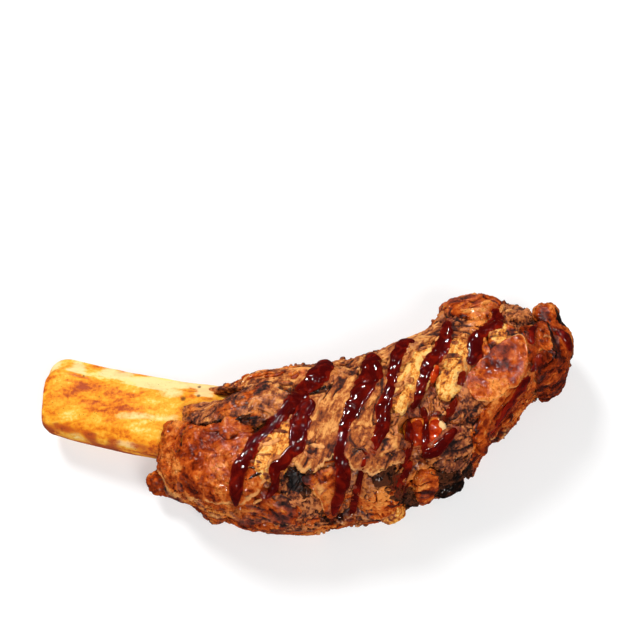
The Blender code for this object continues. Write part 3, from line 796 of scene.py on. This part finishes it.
flaps = dict(
    boneWindow=dict(
        outline=((42, -14), (50, -13), (58, -14), (60, -17), (58, -21), (55, -24), (49, -25), (43, -23)),
        thick=2.4, follow=3.0, power=6.0, ragged=0.04, grain=(0.3, 0.1, 0.2), bone=True, seed=7),
    underLayer=dict(
        outline=((-62, -34), (-65, -38), (-58, -41.3), (-49, -44.7), (-36, -48.8), (-20, -53), (-6, -55),
                 (0, -51), (-20, -44), (-40, -39), (-54, -34)),
        thick=2.4, follow=3.0, ragged=0.05, grain=(0.6, 0.4, 1.2), glaze=0.7, gold=0.15, seed=11),
    farStrip=dict(
        outline=((-46, 7), (-42, 9), (-32, 11.5), (-22, 14), (-11, 16), (1, 14), (9, 11), (0, 3), (-10, 0),
                 (-21, 2), (-30, 3), (-38, 4), (-43, 5)),
        thick=2.0, grain=(0.5, 0.8, 0.3), angle=10, tan=0.9, glaze=0.3, shade=0.2, seed=13),
    greyStrip=dict(
        outline=((-61, -9.5), (-57, -5.5), (-52.5, -8.5), (-45, -8.6), (-37, -5.2), (-29.5, -1.3),
                 (-25, 1.5), (-14, 1), (-7, -2), (-8, -9), (-17, -15), (-23, -17), (-36, -16), (-45, -15.5),
                 (-53, -13)),
        thick=2.4, grain=(0.7, 0.5, 0.15), angle=12, tan=0.2, glaze=0.35, shade=-0.1, curl=0.8, curlTo=90,
        split=0.6, char=0.6, lipTo=95, lipSpread=70, seed=17),
    leftFlap=dict(
        outline=((-64, -9), (-65.5, -18), (-65.5, -31), (-61.5, -38), (-55, -41.5), (-44, -44.5),
                 (-33, -47.5), (-24, -47.5), (-18, -41), (-16, -30), (-16, -22), (-23, -21), (-32, -20),
                 (-42, -19), (-48, -16), (-54, -12.5), (-59, -9.5)),
        thick=2.8, follow=3.5, power=5.0, ragged=0.03, curl=1.2, grain=(2.4, 0.15, 0.10), glaze=1.1,
        char=0.2, split=0.25, lipTo=-90, lipSpread=85, dome=0.3, seed=19),
    paleRidge=dict(
        outline=((-46, -17.6), (-38, -17.2), (-29, -18), (-23, -19), (-23, -20.6), (-30, -20), (-38, -19.6),
                 (-45, -19.6)),
        thick=1.5, follow=1.6, power=2.4, smoothing=3, ragged=0.2, raggedSize=3.0, grain=(0.0, 0.4, 1.2),
        glaze=0.8, shade=0.3, char=0.0, lipTo=90, lipSpread=179, seed=23),
    goldPatch=dict(
        outline=((-16, -19), (-12, -15), (-8, -18), (-6, -28), (-9, -35), (-15, -41), (-20, -40),
                 (-21, -30)),
        thick=2.6, grain=(0.2, 0.6, 1.6), angle=70, gold=1.0, char=0.3, seed=29),
    tanLayer=dict(
        outline=((0, -2), (7, 3), (16, 6), (21, 2), (19, -9), (17, -18), (15, -27), (10, -33), (3, -37),
                 (-4, -37), (-6, -31), (-2, -24), (-1, -15), (-2, -8)),
        thick=2.4, follow=3.0, ragged=0.12, raggedSize=4.0, grain=(0.5, 0.7, 0.15), angle=75, tan=1.0,
        char=0.25, curl=1.5, lipTo=-95, lipSpread=75, split=0.8, seed=31),
    underLip=dict(
        outline=((-4, -39), (2, -40), (8, -37), (13, -35), (15, -42), (13, -50), (9, -52), (5, -47),
                 (1, -43)),
        thick=2.2, ragged=0.05, grain=(0.6, 0.5, 0.5), angle=100, glaze=0.7, tan=0.4, char=0.3, lipTo=-120,
        lipSpread=60, seed=37),
    tanMiddle=dict(
        outline=((22, -2), (28, 5), (34, 5), (36, -3), (34, -11), (31, -20), (26, -31), (20, -33),
                 (18, -24), (20, -13)),
        thick=2.0, ragged=0.14, grain=(0.4, 0.7, 0.2), angle=80, tan=1.0, char=0.3, seed=41),
    lowTan=dict(
        outline=((18, -20), (27, -21), (37, -20), (41, -24), (41, -30), (34, -35), (24, -37), (16, -34),
                 (15, -26)),
        thick=2.2, ragged=0.14, grain=(0.6, 0.6, 0.2), angle=40, tan=0.8, char=0.4, curl=1.4, lipTo=-90,
        lipSpread=80, seed=43),
    goldMiddle=dict(
        outline=((40, 14), (46, 21), (52, 22), (55, 14), (53, 5), (49, -3), (44, -8), (38, -13), (35, -5),
                 (38, 3)),
        thick=3.0, grain=(0.3, 0.6, 0.9), angle=55, gold=0.85, tan=0.5, char=0.2, curl=1.2, curlTo=-30,
        lipTo=-40, lipSpread=80, seed=47),
    farEdge=dict(
        outline=((28, 13), (35, 20), (43, 26), (52, 30), (58, 32), (61, 25), (52, 20), (45, 17), (38, 13),
                 (33, 7)),
        thick=2.4, grain=(0.4, 1.0, 0.4), angle=32, tan=0.9, char=0.5, lipTo=100, lipSpread=70, seed=53),
    goldFar=dict(
        outline=((60, 7), (62, 15), (65, 22), (72, 20), (70, 10), (66, 3), (63, -5), (58, -7), (56, -2)),
        thick=2.8, grain=(0.3, 0.5, 1.4), angle=75, gold=0.75, tan=0.6, char=0.3, seed=59),
    farRight=dict(
        outline=((63, 38), (65, 48), (73, 51), (82, 47), (88, 42), (84, 35), (74, 33)),
        thick=3.0, grain=(0.5, 0.8, 1.1), angle=140, glaze=0.7, tan=0.5, seed=61),
    holeFlap=dict(
        outline=((80, 22), (82, 28), (86, 30), (91, 28), (94, 23), (89, 19), (83, 18)),
        thick=2.6, grain=(0.5, 0.4, 0.5), glaze=0.45, gold=0.5, char=0.2, curl=1.0, curlTo=60, seed=67),
    rimStrip=dict(
        outline=((78, -7), (82, -2), (88, 3), (95, 10), (101, 12), (98, 5), (91, -2), (85, -10), (79, -18),
                 (74, -24), (71, -20), (74, -13)),
        thick=2.6, follow=1.6, grain=(1.0, 0.8, 0.7), angle=55, glaze=1.0, gold=0.25, char=0.4, lipTo=-35,
        seed=73),
    rightPiece=dict(
        outline=((95, 27), (100, 31), (105, 24), (109, 18), (109, 13), (104, 12), (97, 13), (94, 20)),
        thick=3.0, grain=(0.7, 0.5, 0.7), angle=100, glaze=0.8, gold=0.2, char=0.3, curl=1.4, curlTo=20,
        lipTo=20, lipSpread=90, seed=79),
    leaf=dict(
        outline=((94, 24), (96, 16), (95, 11), (92, 5), (85, -1), (77, -7), (70, -5), (68, 2), (73, 8),
                 (79, 14), (84, 19), (89, 22)),
        thick=1.8, follow=3.5, power=6.0, ragged=0.03, grain=(0.4, 0.2, 0.03), angle=55, tan=0.30,
        glaze=0.85, char=0.0, split=0.0, curl=2.4, curlTo=-35, lipTo=-35, lipSpread=110, seed=71),
    outerPiece=dict(
        outline=((109, 46), (113, 47), (116, 42), (119, 36), (120, 28), (118, 21), (113, 17), (109, 16),
                 (107, 21), (105, 27), (106, 36)),
        thick=2.4, follow=1.6, grain=(0.7, 0.6, 1.2), angle=100, glaze=0.8, seed=83),
    lowRight=dict(
        outline=((99, 12), (106, 17), (112, 19), (117, 18), (119, 14), (114, 9.5), (106, 7.5), (99, 8)),
        thick=2.8, follow=1.6, grain=(1.0, 0.3, 0.8), glaze=0.9, shade=-0.9, seed=89),
    fibres=dict(
        outline=((52, -25), (56, -21), (64, -19), (71, -22), (70, -28), (64, -32), (56, -32), (51, -29)),
        thick=2.2, grain=(0.2, 1.8, 0.2), angle=35, shade=-0.7, char=0.5, split=1.3, seed=97),
    orangeLump=dict(
        outline=((46, -36), (51, -33), (56, -34), (57, -38), (53, -42), (47, -41)),
        thick=3.2, power=3.0, grain=(0.8, 0.2, 0.5), glaze=0.9, char=0.1, seed=101),
)


def makeFlap(name, given, finish):
    # an arch swept round the outline and laid on the blurred ground, lifted along its curl, then pushed
    # out by wrinkles, threads, lumps and cracks; its lip is pale
    spec = dict(flapDefaults, **given)
    corners = np.array(spec["outline"], float)
    reachMean = np.mean(np.hypot(*(corners - corners.mean(axis=0)).T))
    around = int(np.clip(2 * np.pi * reachMean / spec["step"] * 1.25, *flapCounts["around"]))
    rows = int(np.clip(reachMean / spec["step"] * 1.6, *flapCounts["rows"]))
    seed = spec["seed"]
    turn = np.linspace(-np.pi, np.pi, around, endpoint=False)
    middle, radius = outlineAt(corners, turn, spec["smoothing"])
    bearing = np.stack([np.cos(turn), np.sin(turn)], -1)
    rimPlace = np.concatenate([middle + radius[:, None] * bearing, np.zeros((around, 1))], -1)
    radius = radius * (1.0 + spec["ragged"] * 1.6 * fractal(rimPlace, spec["raggedSize"], 4, seed))
    reach, up = archProfile(rows, spec["power"], spec["thick"] / reachMean)
    x, y = [middle[k] + reach * radius * bearing[:, k] for k in (0, 1)]
    z, normal = ground.surface(x, y, spec["follow"])
    lean = normal + (0.0, 0.0, 0.7)
    lean /= np.linalg.norm(lean, axis=-1, keepdims=True)
    sector = smoothStep(0.5 + facing(turn, spec["curlTo"], spec["curlSpread"]))
    rise = np.where(up > 0, spec["thick"] * up, spec["sunk"] * up) + spec["dome"] * (1.0 - reach**2)
    rise = rise + spec["curl"] * sector * smoothStep((reach - 0.45) / 0.55) ** 2
    points = np.stack([x, y, z], -1) + lean * rise[..., None]
    normals = outward(points)
    wrinkle, thread, lumps = spec["grain"]
    bend = warped(points, 6.0, 1.2, seed)
    fibre = creased(turned(bend, np.radians(spec["angle"]), 0.2), flapGrain["thread"], 3, seed + 3)
    relief = 0.6 * fractal(points, flapGrain["fold"], 3, seed + 6)
    relief = wrinkle * (relief + 0.5 * creased(bend, flapGrain["wrinkle"], 2, seed + 9))
    relief = relief + 0.8 * thread * fibre + lumps * creased(bend, flapGrain["lump"], 4, seed + 12)
    crack = splits(points, np.radians(spec["angle"]), seed + 24)
    relief = (relief - spec["split"] * crack) * smoothStep((up + 0.2) / 0.35)
    points = points + normals * relief[..., None]
    points[..., 2] = np.maximum(points[..., 2], clearance)
    ground.lay(points[up[:, 0] > 0.0])
    edge = np.exp(-((up - 0.62) / 0.20) ** 2) * smoothStep((reach - 0.86) / 0.08) + 0.0 * x
    lip = 0.0 * x
    if spec["lipTo"] is not None:
        toward = smoothStep(0.5 + 2.0 * facing(turn, spec["lipTo"], spec["lipSpread"]))
        lip = 1.1 * edge * toward * smoothStep(0.75 + swirl(points, 6.0, seed + 15))
    vary = 0.9 * fractal(points, 7.0, 2, seed + 18)
    tone = 0.5 + spec["shade"] + 0.5 * swirl(points, 5.0, seed + 21) - 0.25 * (edge - lip)
    if spec["bone"]:
        cream = 0.1 + 0.9 * smoothStep((x - middle[0] - 3.0) / 3.0)      # palest at the right
        stain = 0.45 + 0.5 * vary + 0.6 * edge - 0.4 * cream
        return makePiece(name, points, finish, dict(tone=(stain, cream, 0.0 * x)))
    tan, glaze, gold = spec["tan"] + vary, spec["glaze"] - 0.6 * vary, spec["gold"] + 0.4 * vary
    masks = fleshMasks(points, relief, lip, tan, glaze, gold, tone, 0.5 + thread * fibre, spec["char"],
                       min(1.0, spec["split"]) * crack)
    return makePiece(name, points, finish, masks)


# Shreds, crumbs and nubs

shreds = dict(
    count=190, length=(4.0, 11.0), half=(0.5, 1.3), rows=14, around=8, lift=0.1, facingUp=0.8,
    turnSpread=0.35, bendSpread=0.5, follow=0.6, mostDrop=3.0)
smoothPlaces = ((-46, -28, 20, 19), (84, 8, 11, 13))      # no shreds on the glazed flap or the leaf
crumbs = dict(count=1500, radius=(0.45, 1.5), rows=6, around=8, gap=0.25, facingUp=-0.5)
nubDefaults = dict(
    rows=60, around=90, gap=0.03, lumpSize=6.0, lumpHeight=2.0, creaseSize=2.6, creaseHeight=1.1,
    tan=0.0, gold=0.0, shade=0.0, char=0.7)
nubs = dict(      # middle, radii along X and Y and upwards, tone
    leftEnd=dict(at=(-66, -33.5, 11.0), size=(7.6, 5.4, 5.0), glaze=0.8, seed=301),
    nearLeft=dict(at=(-24, -48, 12), size=(8.5, 6.5, 7.5), glaze=0.6, seed=307),
    nearMiddle=dict(at=(36, -45.5, 13), size=(7.0, 6.5, 7.0), glaze=0.7, gold=0.6, seed=311),
    lowMiddle=dict(at=(61, -33.5, 11), size=(9.0, 6.5, 7.0), glaze=0.6, shade=-0.3, char=1.0, seed=349),
    orangeBall=dict(
        at=(76, -20.5, 30), size=(3.8, 4.4, 4.5), glaze=1.0, gold=0.3, shade=0.2, char=0.0, seed=313),
    topRight=dict(at=(111, 43, 25), size=(5.5, 6.0, 6.0), glaze=0.8, seed=317),
    rightLow=dict(at=(112, 16, 15), size=(7.5, 6.0, 6.5), glaze=0.8, shade=-0.7, seed=331),
    rightEnd=dict(at=(116, 30, 19), size=(7.5, 8.5, 8.0), glaze=0.5, seed=337),
    farEnd=dict(at=(69, 43, 26), size=(8.0, 7.0, 7.0), glaze=0.5, tan=0.5, seed=347),
)


def ballPoints(rows, around, gap):
    # a unit ball: rings from the gap below its top to the gap above its bottom, in radians
    turn = np.linspace(0.0, 2.0 * np.pi, around, endpoint=False)[None, :]
    fall = np.linspace(gap, np.pi - gap, rows)[:, None]
    return np.stack([np.sin(fall) * np.cos(turn), np.sin(fall) * np.sin(turn), np.cos(fall) + 0.0 * turn], -1)


def makeNub(name, given, finish):
    # a ball with wrinkles, half sunk in the meat
    spec = dict(nubDefaults, **given)
    rows, seed = spec["rows"], spec["seed"]
    points = spec["at"] + ballPoints(rows, spec["around"], spec["gap"]) * spec["size"]
    normals = outward(points)
    relief = spec["lumpHeight"] * fractal(points, spec["lumpSize"], 3, seed)
    relief = relief + spec["creaseHeight"] * creased(points, spec["creaseSize"], 4, seed + 5)
    points = points + normals * relief[..., None]
    points[..., 2] = np.maximum(points[..., 2], clearance)
    ground.lay(points[: rows // 2])
    none = 0.0 * relief
    tan, glaze, gold, shade = [none + spec[key] for key in ("tan", "glaze", "gold", "shade")]
    masks = fleshMasks(points, relief, none, tan, glaze, gold, 0.5 + shade, none + 0.5, spec["char"])
    return makePiece(name, points, finish, masks)


def pickPlaces(count, lowest, draw):
    # random points of the meat's surface that face up more than the given share
    points, normals, grain, tone, bare = meatSurface
    clear = spots(points[..., 0], points[..., 1], smoothPlaces) < 0.3
    usable = (normals[..., 2] > lowest) & (bare < 0.1) & (points[..., 2] > 3.0) & clear
    usable = np.flatnonzero(usable.ravel())
    chosen = draw.choice(usable, count, replace=False)
    return [value.reshape(-1, *value.shape[2:])[chosen] for value in (points, grain, tone)]


def swarmMasks(points, tone, draw):
    # tones of many small bits: each takes those of its place and a random shift of its own
    x, y = points[..., 0], points[..., 1]
    shift = draw.normal(0.0, 0.25, (len(points), 1, 1))
    glaze = spots(x, y, glazePlaces) + shift
    tan = spots(x, y, tanPlaces) - shift
    # char, with painted shadow in some gaps and crevices
    burnt = 0.8 * spots(x, y, charAndShadowPlaces) + 0.2 * smoothStep(2.0 * swirl(points, 7.0, 83))
    light = 0.5 + 1.2 * shift + 0.3 * (tone - 0.5)
    return dict(tone=(burnt, tan, glaze), state=(0.25 + shift, 0.0 * x, sauceFilm(x, y)),
                drift=(light, 0.0 * x, 0.6 + 0.0 * x))


def makeShreds(finish):
    # short tapered fibres, each along its own slightly bent line on the ground
    draw = np.random.default_rng(401)
    count, rows, around = shreds["count"], shreds["rows"], shreds["around"]
    places, grain, tone = pickPlaces(count, shreds["facingUp"], draw)
    length, half = draw.uniform(*shreds["length"], count), draw.uniform(*shreds["half"], count)
    heading = grain + draw.normal(0.0, shreds["turnSpread"], count)
    bend = draw.normal(0.0, shreds["bendSpread"], count)
    s = np.linspace(-0.5, 0.5, rows)
    along, across = length[:, None] * s, (bend * length)[:, None] * s**2
    x = places[:, None, 0] + along * np.cos(heading)[:, None] - across * np.sin(heading)[:, None]
    y = places[:, None, 1] + along * np.sin(heading)[:, None] + across * np.cos(heading)[:, None]
    z = ground.sample(ground.blurred(shreds["follow"]), x, y) + shreds["lift"]
    taper = (1.0 - np.abs(2.0 * s) ** 3) ** 0.5 * 0.9 + 0.1
    turn = np.linspace(0.0, 2.0 * np.pi, around, endpoint=False)
    size = (half[:, None] * taper)[..., None]
    side, up = size * np.cos(turn), size * np.sin(turn)
    points = np.stack([x[..., None] - side * np.sin(heading)[:, None, None],
                       y[..., None] + side * np.cos(heading)[:, None, None], z[..., None] + up], -1)
    lying = np.ptp(z, axis=1) < shreds["mostDrop"]      # none hang over an edge
    points, tone = points[lying], tone[lying]
    return makePiece("meat_shreds", points, finish, swarmMasks(points, tone[:, None, None], draw))


def makeCrumbs(finish):
    # small lumps half sunk in the meat's sides and top
    draw = np.random.default_rng(409)
    count, (smallest, largest) = crumbs["count"], crumbs["radius"]
    places, tone = pickPlaces(count, crumbs["facingUp"], draw)[::2]
    ball = ballPoints(crumbs["rows"], crumbs["around"], crumbs["gap"])
    size = draw.uniform(0.0, 1.0, (count, 1, 1, 1)) ** 2.5
    size = smallest + (largest - smallest) * size
    stretch = draw.uniform(0.7, 1.3, (count, 1, 1, 3))
    points = places[:, None, None] + ball * size * stretch
    points = points + ball * (0.7 * swirl(points, 1.3, 411)[..., None] * size)
    points[..., 2] = np.maximum(points[..., 2], clearance)
    return makePiece("meat_crumbs", points, finish, swarmMasks(points, tone[:, None, None], draw))


# Sauce: ropes and runs carried along paths in plan, lying on the ground

def smoothPath(line, count):
    # even steps along a smooth curve through a few points
    line = np.array(line, float)
    places = np.concatenate([[0.0], np.cumsum(np.hypot(*np.diff(line, axis=0).T))])
    curve = hermite(np.linspace(0.0, places[-1], 400), places, line)
    run = np.concatenate([[0.0], np.cumsum(np.hypot(*np.diff(curve, axis=0).T))])
    even = np.linspace(0.0, run[-1], count)
    return np.stack([np.interp(even, run, curve[:, k]) for k in (0, 1)], -1), run[-1]


ropes = dict(
    first=dict(
        path=((9, 16), (4, 6), (-2, -1), (-9, -11), (-15, -17), (-21, -23), (-25, -30), (-29, -37),
              (-30, -42), (-31, -50)),
        half=(4.4, 5.0, 4.2, 3.6, 3.2, 3.0, 2.8, 3.0, 3.2, 2.8)),
    second=dict(
        path=((2, -7), (-2, -13), (-4, -20), (-5, -29), (-9, -33), (-14, -37), (-14, -43), (-18, -48)),
        half=(3.2, 4.0, 4.2, 3.4, 2.8, 2.4, 1.8, 1.0)),
    third=dict(
        path=((28, 17), (28, 8), (25, 0), (21, -7), (18, -14), (15, -20), (14, -27), (13, -31), (15, -39),
              (14, -44), (12, -48), (10, -52)),
        half=(4.2, 4.8, 4.4, 4.4, 3.8, 3.0, 2.2, 2.0, 2.6, 2.9, 2.2, 1.8)),
    fourth=dict(
        path=((47, 20), (44, 22), (40, 16), (37, 6), (36, 0), (34, -6), (32, -12), (32, -19), (29, -25),
              (28, -30)),
        half=(1.8, 2.6, 2.8, 2.6, 2.4, 2.6, 3.2, 2.8, 2.6, 1.8)),
    fifth=dict(
        path=((63, 33), (61, 24), (58, 16), (53, 10), (50, 3), (48, -4), (45, -10)),
        half=(2.0, 3.0, 3.4, 3.0, 2.4, 2.0, 1.4)),
    sixth=dict(
        path=((84, 38), (85, 32), (79, 27), (74, 22), (73, 15), (70, 9)),
        half=(2.6, 3.4, 2.8, 3.4, 3.6, 2.0)),
)
runs = dict(      # thinner runs and drips; glow is how much light comes through
    windowFilm=dict(
        path=((47, -14), (47.2, -19), (46.5, -25.5)),
        half=(2.6, 2.8, 2.2), glow=0.6, thick=0.25),
    windowGleam=dict(
        path=((54.5, -14), (54.8, -19), (53.5, -25)),
        half=(2.4, 2.6, 1.8), glow=0.8, thick=0.25),
    windowLeft=dict(
        path=((43.5, -14), (43.5, -20), (43, -27), (41, -34)),
        half=(1.2, 1.6, 1.6, 0.8), glow=0.2),
    windowMiddle=dict(path=((51, -13), (50.8, -20), (50, -28)), half=(1.0, 1.5, 1.7), glow=0.1),
    windowRight=dict(path=((64, -18), (60, -22), (56, -26), (49, -29)), half=(1.4, 2.0, 2.4, 1.4)),
    bubble=dict(path=((56.5, 9), (55, 5), (53.5, 1)), half=(0.9, 1.8, 1.2), glow=0.8, thick=0.6),
    dropOne=dict(path=((68, 6), (66, 2), (65, -1)), half=(0.8, 1.6, 1.2), glow=0.4, thick=0.7),
    dropTwo=dict(path=((64, -6), (62.5, -9), (60, -13)), half=(0.8, 1.7, 1.3), glow=0.4, thick=0.7),
    dropThree=dict(path=((49, -9), (50, -11), (50, -14)), half=(1.0, 1.4, 1.0), glow=0.3),
    lowThird=dict(
        path=((24, -33), (22, -40), (20, -47), (18, -53)),
        half=(0.5, 1.2, 1.5, 0.8), glow=0.1, thick=0.5),
    lowFourth=dict(path=((45, -31), (42, -36), (38, -42)), half=(0.5, 1.2, 0.7), thick=0.5),
    glossRight=dict(path=((101, 12), (94, 1), (87, -8), (80, -17)), half=(0.6, 1.2, 1.0, 0.5), thick=0.6),
    topRight=dict(path=((104, 33), (100, 27), (99, 20)), half=(1.2, 1.6, 1.2), glow=0.2),
    endRight=dict(path=((113, 31), (117, 28), (119, 22)), half=(1.6, 2.4, 1.6), glow=0.3),
)


sauceDefaults = dict(glow=0.0, thick=1.0, step=0.35, around=64, follow=0.9, sunk=1.2, uneven=0.42)


def makeSauce(name, given, finish, seed):
    # an oval section along the path, its width uneven, over the meat's own bumps
    spec = dict(sauceDefaults, **given)
    length = smoothPath(spec["path"], 50)[1]
    path, length = smoothPath(spec["path"], max(20, int(length / spec["step"])))
    rows, around = len(path), spec["around"]
    share = np.linspace(0.0, 1.0, rows)[:, None]
    angle = np.linspace(0.0, 2.0 * np.pi, around, endpoint=False)[None, :]
    heading = np.gradient(path, axis=0)
    heading /= np.linalg.norm(heading, axis=1, keepdims=True)
    side = np.stack([-heading[:, 1], heading[:, 0]], -1)
    across, up = superellipse(angle, 2.0)
    half = evenly(share, spec["half"])
    # a drop is round, a rope has blunt ends
    bluntness = np.clip(length / np.mean(spec["half"]), 2.0, 12.0)
    ends = np.clip(1.0 - np.abs(2.0 * share - 1.0) ** bluntness, 0.0, 1.0) ** 0.5
    flat = 0.0 * share * across
    edgeAt = np.stack([share * length + flat, np.sign(across) * 40.0 + flat, flat], -1)
    width = 0.15 + 0.98 * half * (1.0 + spec["uneven"] * fractal(edgeAt, 5.0, 3, seed))
    x, y = [path[:, None, k] + side[:, None, k] * across * width * ends for k in (0, 1)]
    z, normal = ground.surface(x, y, spec["follow"])
    swell = 1.0 + 0.5 * swirl(edgeAt * (1, 0, 0), 7.0, seed + 3)
    thick = (0.6 + 0.45 * half) * spec["thick"] * swell * ends**0.5
    points = np.stack([x, y, z], -1) + normal * np.where(up > 0, thick * up, spec["sunk"] * up)[..., None]
    normals = outward(points)
    waves = 0.45 * swirl(points, 4.0, seed) + 0.24 * swirl(points, 2.0, seed + 1)
    points = points + normals * (waves * smoothStep(up) * spec["thick"])[..., None]
    ground.lay(points[:, up[0] > 0.0])
    deep = smoothStep(up * 0.9 + 0.3) * smoothStep(half / 1.5)
    return makePiece(name, points, finish, dict(tone=(deep, spec["glow"] + 0.0 * deep, deep)))


# Build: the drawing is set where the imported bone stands

boneShape = bonePoints()[0].reshape(-1, 3)
origin = np.array(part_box("bone")[0]) - boneShape.min(axis=0) * mm
cadLow, cadHigh = np.array(cadBox[0]), np.array(cadBox[1])
print("drawing's origin in the frame:", np.round(origin * 1000, 3))

meatMaterial, sauceMaterial, boneMaterial = meatFinish(), sauceFinish(), boneFinish()
makeBone(boneMaterial)
print("bone made")
meatSurface = makeMeat(meatMaterial)
print("meat made")
for label, spec in nubs.items():
    makeNub("nub_" + label, spec, meatMaterial)
for label, spec in flaps.items():
    finish, slot = (boneMaterial, "bone") if "bone" in spec else (meatMaterial, "meat")
    makeFlap("flap_" + label, spec, finish)
print("flaps laid")
makeShreds(meatMaterial)
makeCrumbs(meatMaterial)
print("shreds and crumbs strewn")
for number, (label, spec) in enumerate({**ropes, **runs}.items()):
    makeSauce("sauce_" + label, spec, sauceMaterial, 501 + 7 * number)
print("sauce poured")


# Room, light and camera

def makeFloor():
    # a pale matt square that glows a little
    size = 6.0
    mesh = bpy.data.meshes.new("floor")
    corners = [(-size, -size, 0), (size, -size, 0), (size, size, 0), (-size, size, 0)]
    mesh.from_pydata(corners, [], [(0, 1, 2, 3)])
    f = Finish("pale floor", Roughness=0.8, Specular_IOR_Level=0.1, Emission_Color=(1.0, 1.0, 1.0, 1.0),
               Emission_Strength=0.45)
    tint = f.blend(f.noise(300.0) + 0.5, (0.56, 0.56, 0.56), (0.58, 0.58, 0.58))
    mesh.materials.append(f.set(Base_Color=tint))
    floor = bpy.data.objects.new("floor", mesh)
    floor.visible_glossy = False      # the real room is no white box
    bpy.context.scene.collection.objects.link(floor)


lamps = dict(     # place in metres, diameter, watts, and whether it gives the soft light or the sparkles
    window=((-0.55, 0.75, 0.95), 0.45, 15.0, "soft"),
    fill=((0.35, -0.55, 0.80), 0.50, 6.0, "soft"),
    sparkTop=((-0.10, 0.42, 0.95), 0.03, 1.5, "sparkle"),
    sparkLeft=((-0.55, 0.50, 0.80), 0.045, 3.5, "sparkle"),
    sparkBack=((0.20, 0.80, 0.75), 0.03, 1.6, "sparkle"),
    sparkRight=((0.40, 0.15, 1.00), 0.03, 1.2, "sparkle"),
    sparkFront=((-0.20, -0.80, 0.60), 0.04, 2.5, "sparkle"),
)


def areaLight(name, place, size, power, kind):
    # a round lamp turned to the rib
    lamp = bpy.data.lights.new(name, "AREA")
    lamp.shape, lamp.size, lamp.energy = "DISK", size, power
    made = bpy.data.objects.new(name, lamp)
    made.location = place
    made.rotation_euler = (-Vector(place)).to_track_quat("-Z", "Y").to_euler()
    made.visible_glossy, made.visible_diffuse = kind == "sparkle", kind == "soft"
    bpy.context.scene.collection.objects.link(made)


room = dict(seen=0.92, lighting=0.22, everywhere=0.03)      # strengths of the white round the rib


def makeWorld():
    # white behind the rib; little of it lights the rib, and next to none shows in reflections
    world = bpy.data.worlds.new("room")
    world.use_nodes = True
    tree = world.node_tree
    background = tree.nodes["Background"]
    background.inputs["Color"].default_value = (1.0, 1.0, 1.0, 1.0)
    camera, diffuse = [addNode(tree, "ShaderNodeLightPath", output=k) for k in (0, 2)]
    strength = camera * room["seen"] + diffuse * room["lighting"] + room["everywhere"]
    tree.links.new(strength.socket, background.inputs["Strength"])
    bpy.context.scene.world = world


view = dict(elevation=66.0, distance=0.528, lens=60.0, sensor=36.0, aimAt=(5.0, 52.0))


def makeCamera():
    # the photograph's middle falls behind the rib
    aim = Vector((view["aimAt"][0] * mm + origin[0], view["aimAt"][1] * mm + origin[1], 0.0))
    rise = math.radians(view["elevation"])
    back = Vector((0.0, -math.cos(rise), math.sin(rise)))
    camera = bpy.data.cameras.new("camera")
    camera.lens, camera.sensor_width = view["lens"], view["sensor"]
    camera.clip_start, camera.clip_end = 0.01, 50.0
    made = bpy.data.objects.new("camera", camera)
    made.location = aim + back * view["distance"]
    made.rotation_euler = (-back).to_track_quat("-Z", "Y").to_euler()
    bpy.context.scene.collection.objects.link(made)
    bpy.context.scene.camera = made


makeFloor()
for label, lampSpec in lamps.items():
    areaLight(label, *lampSpec)
makeWorld()
bpy.context.scene.view_settings.view_transform = "Standard"
makeCamera()
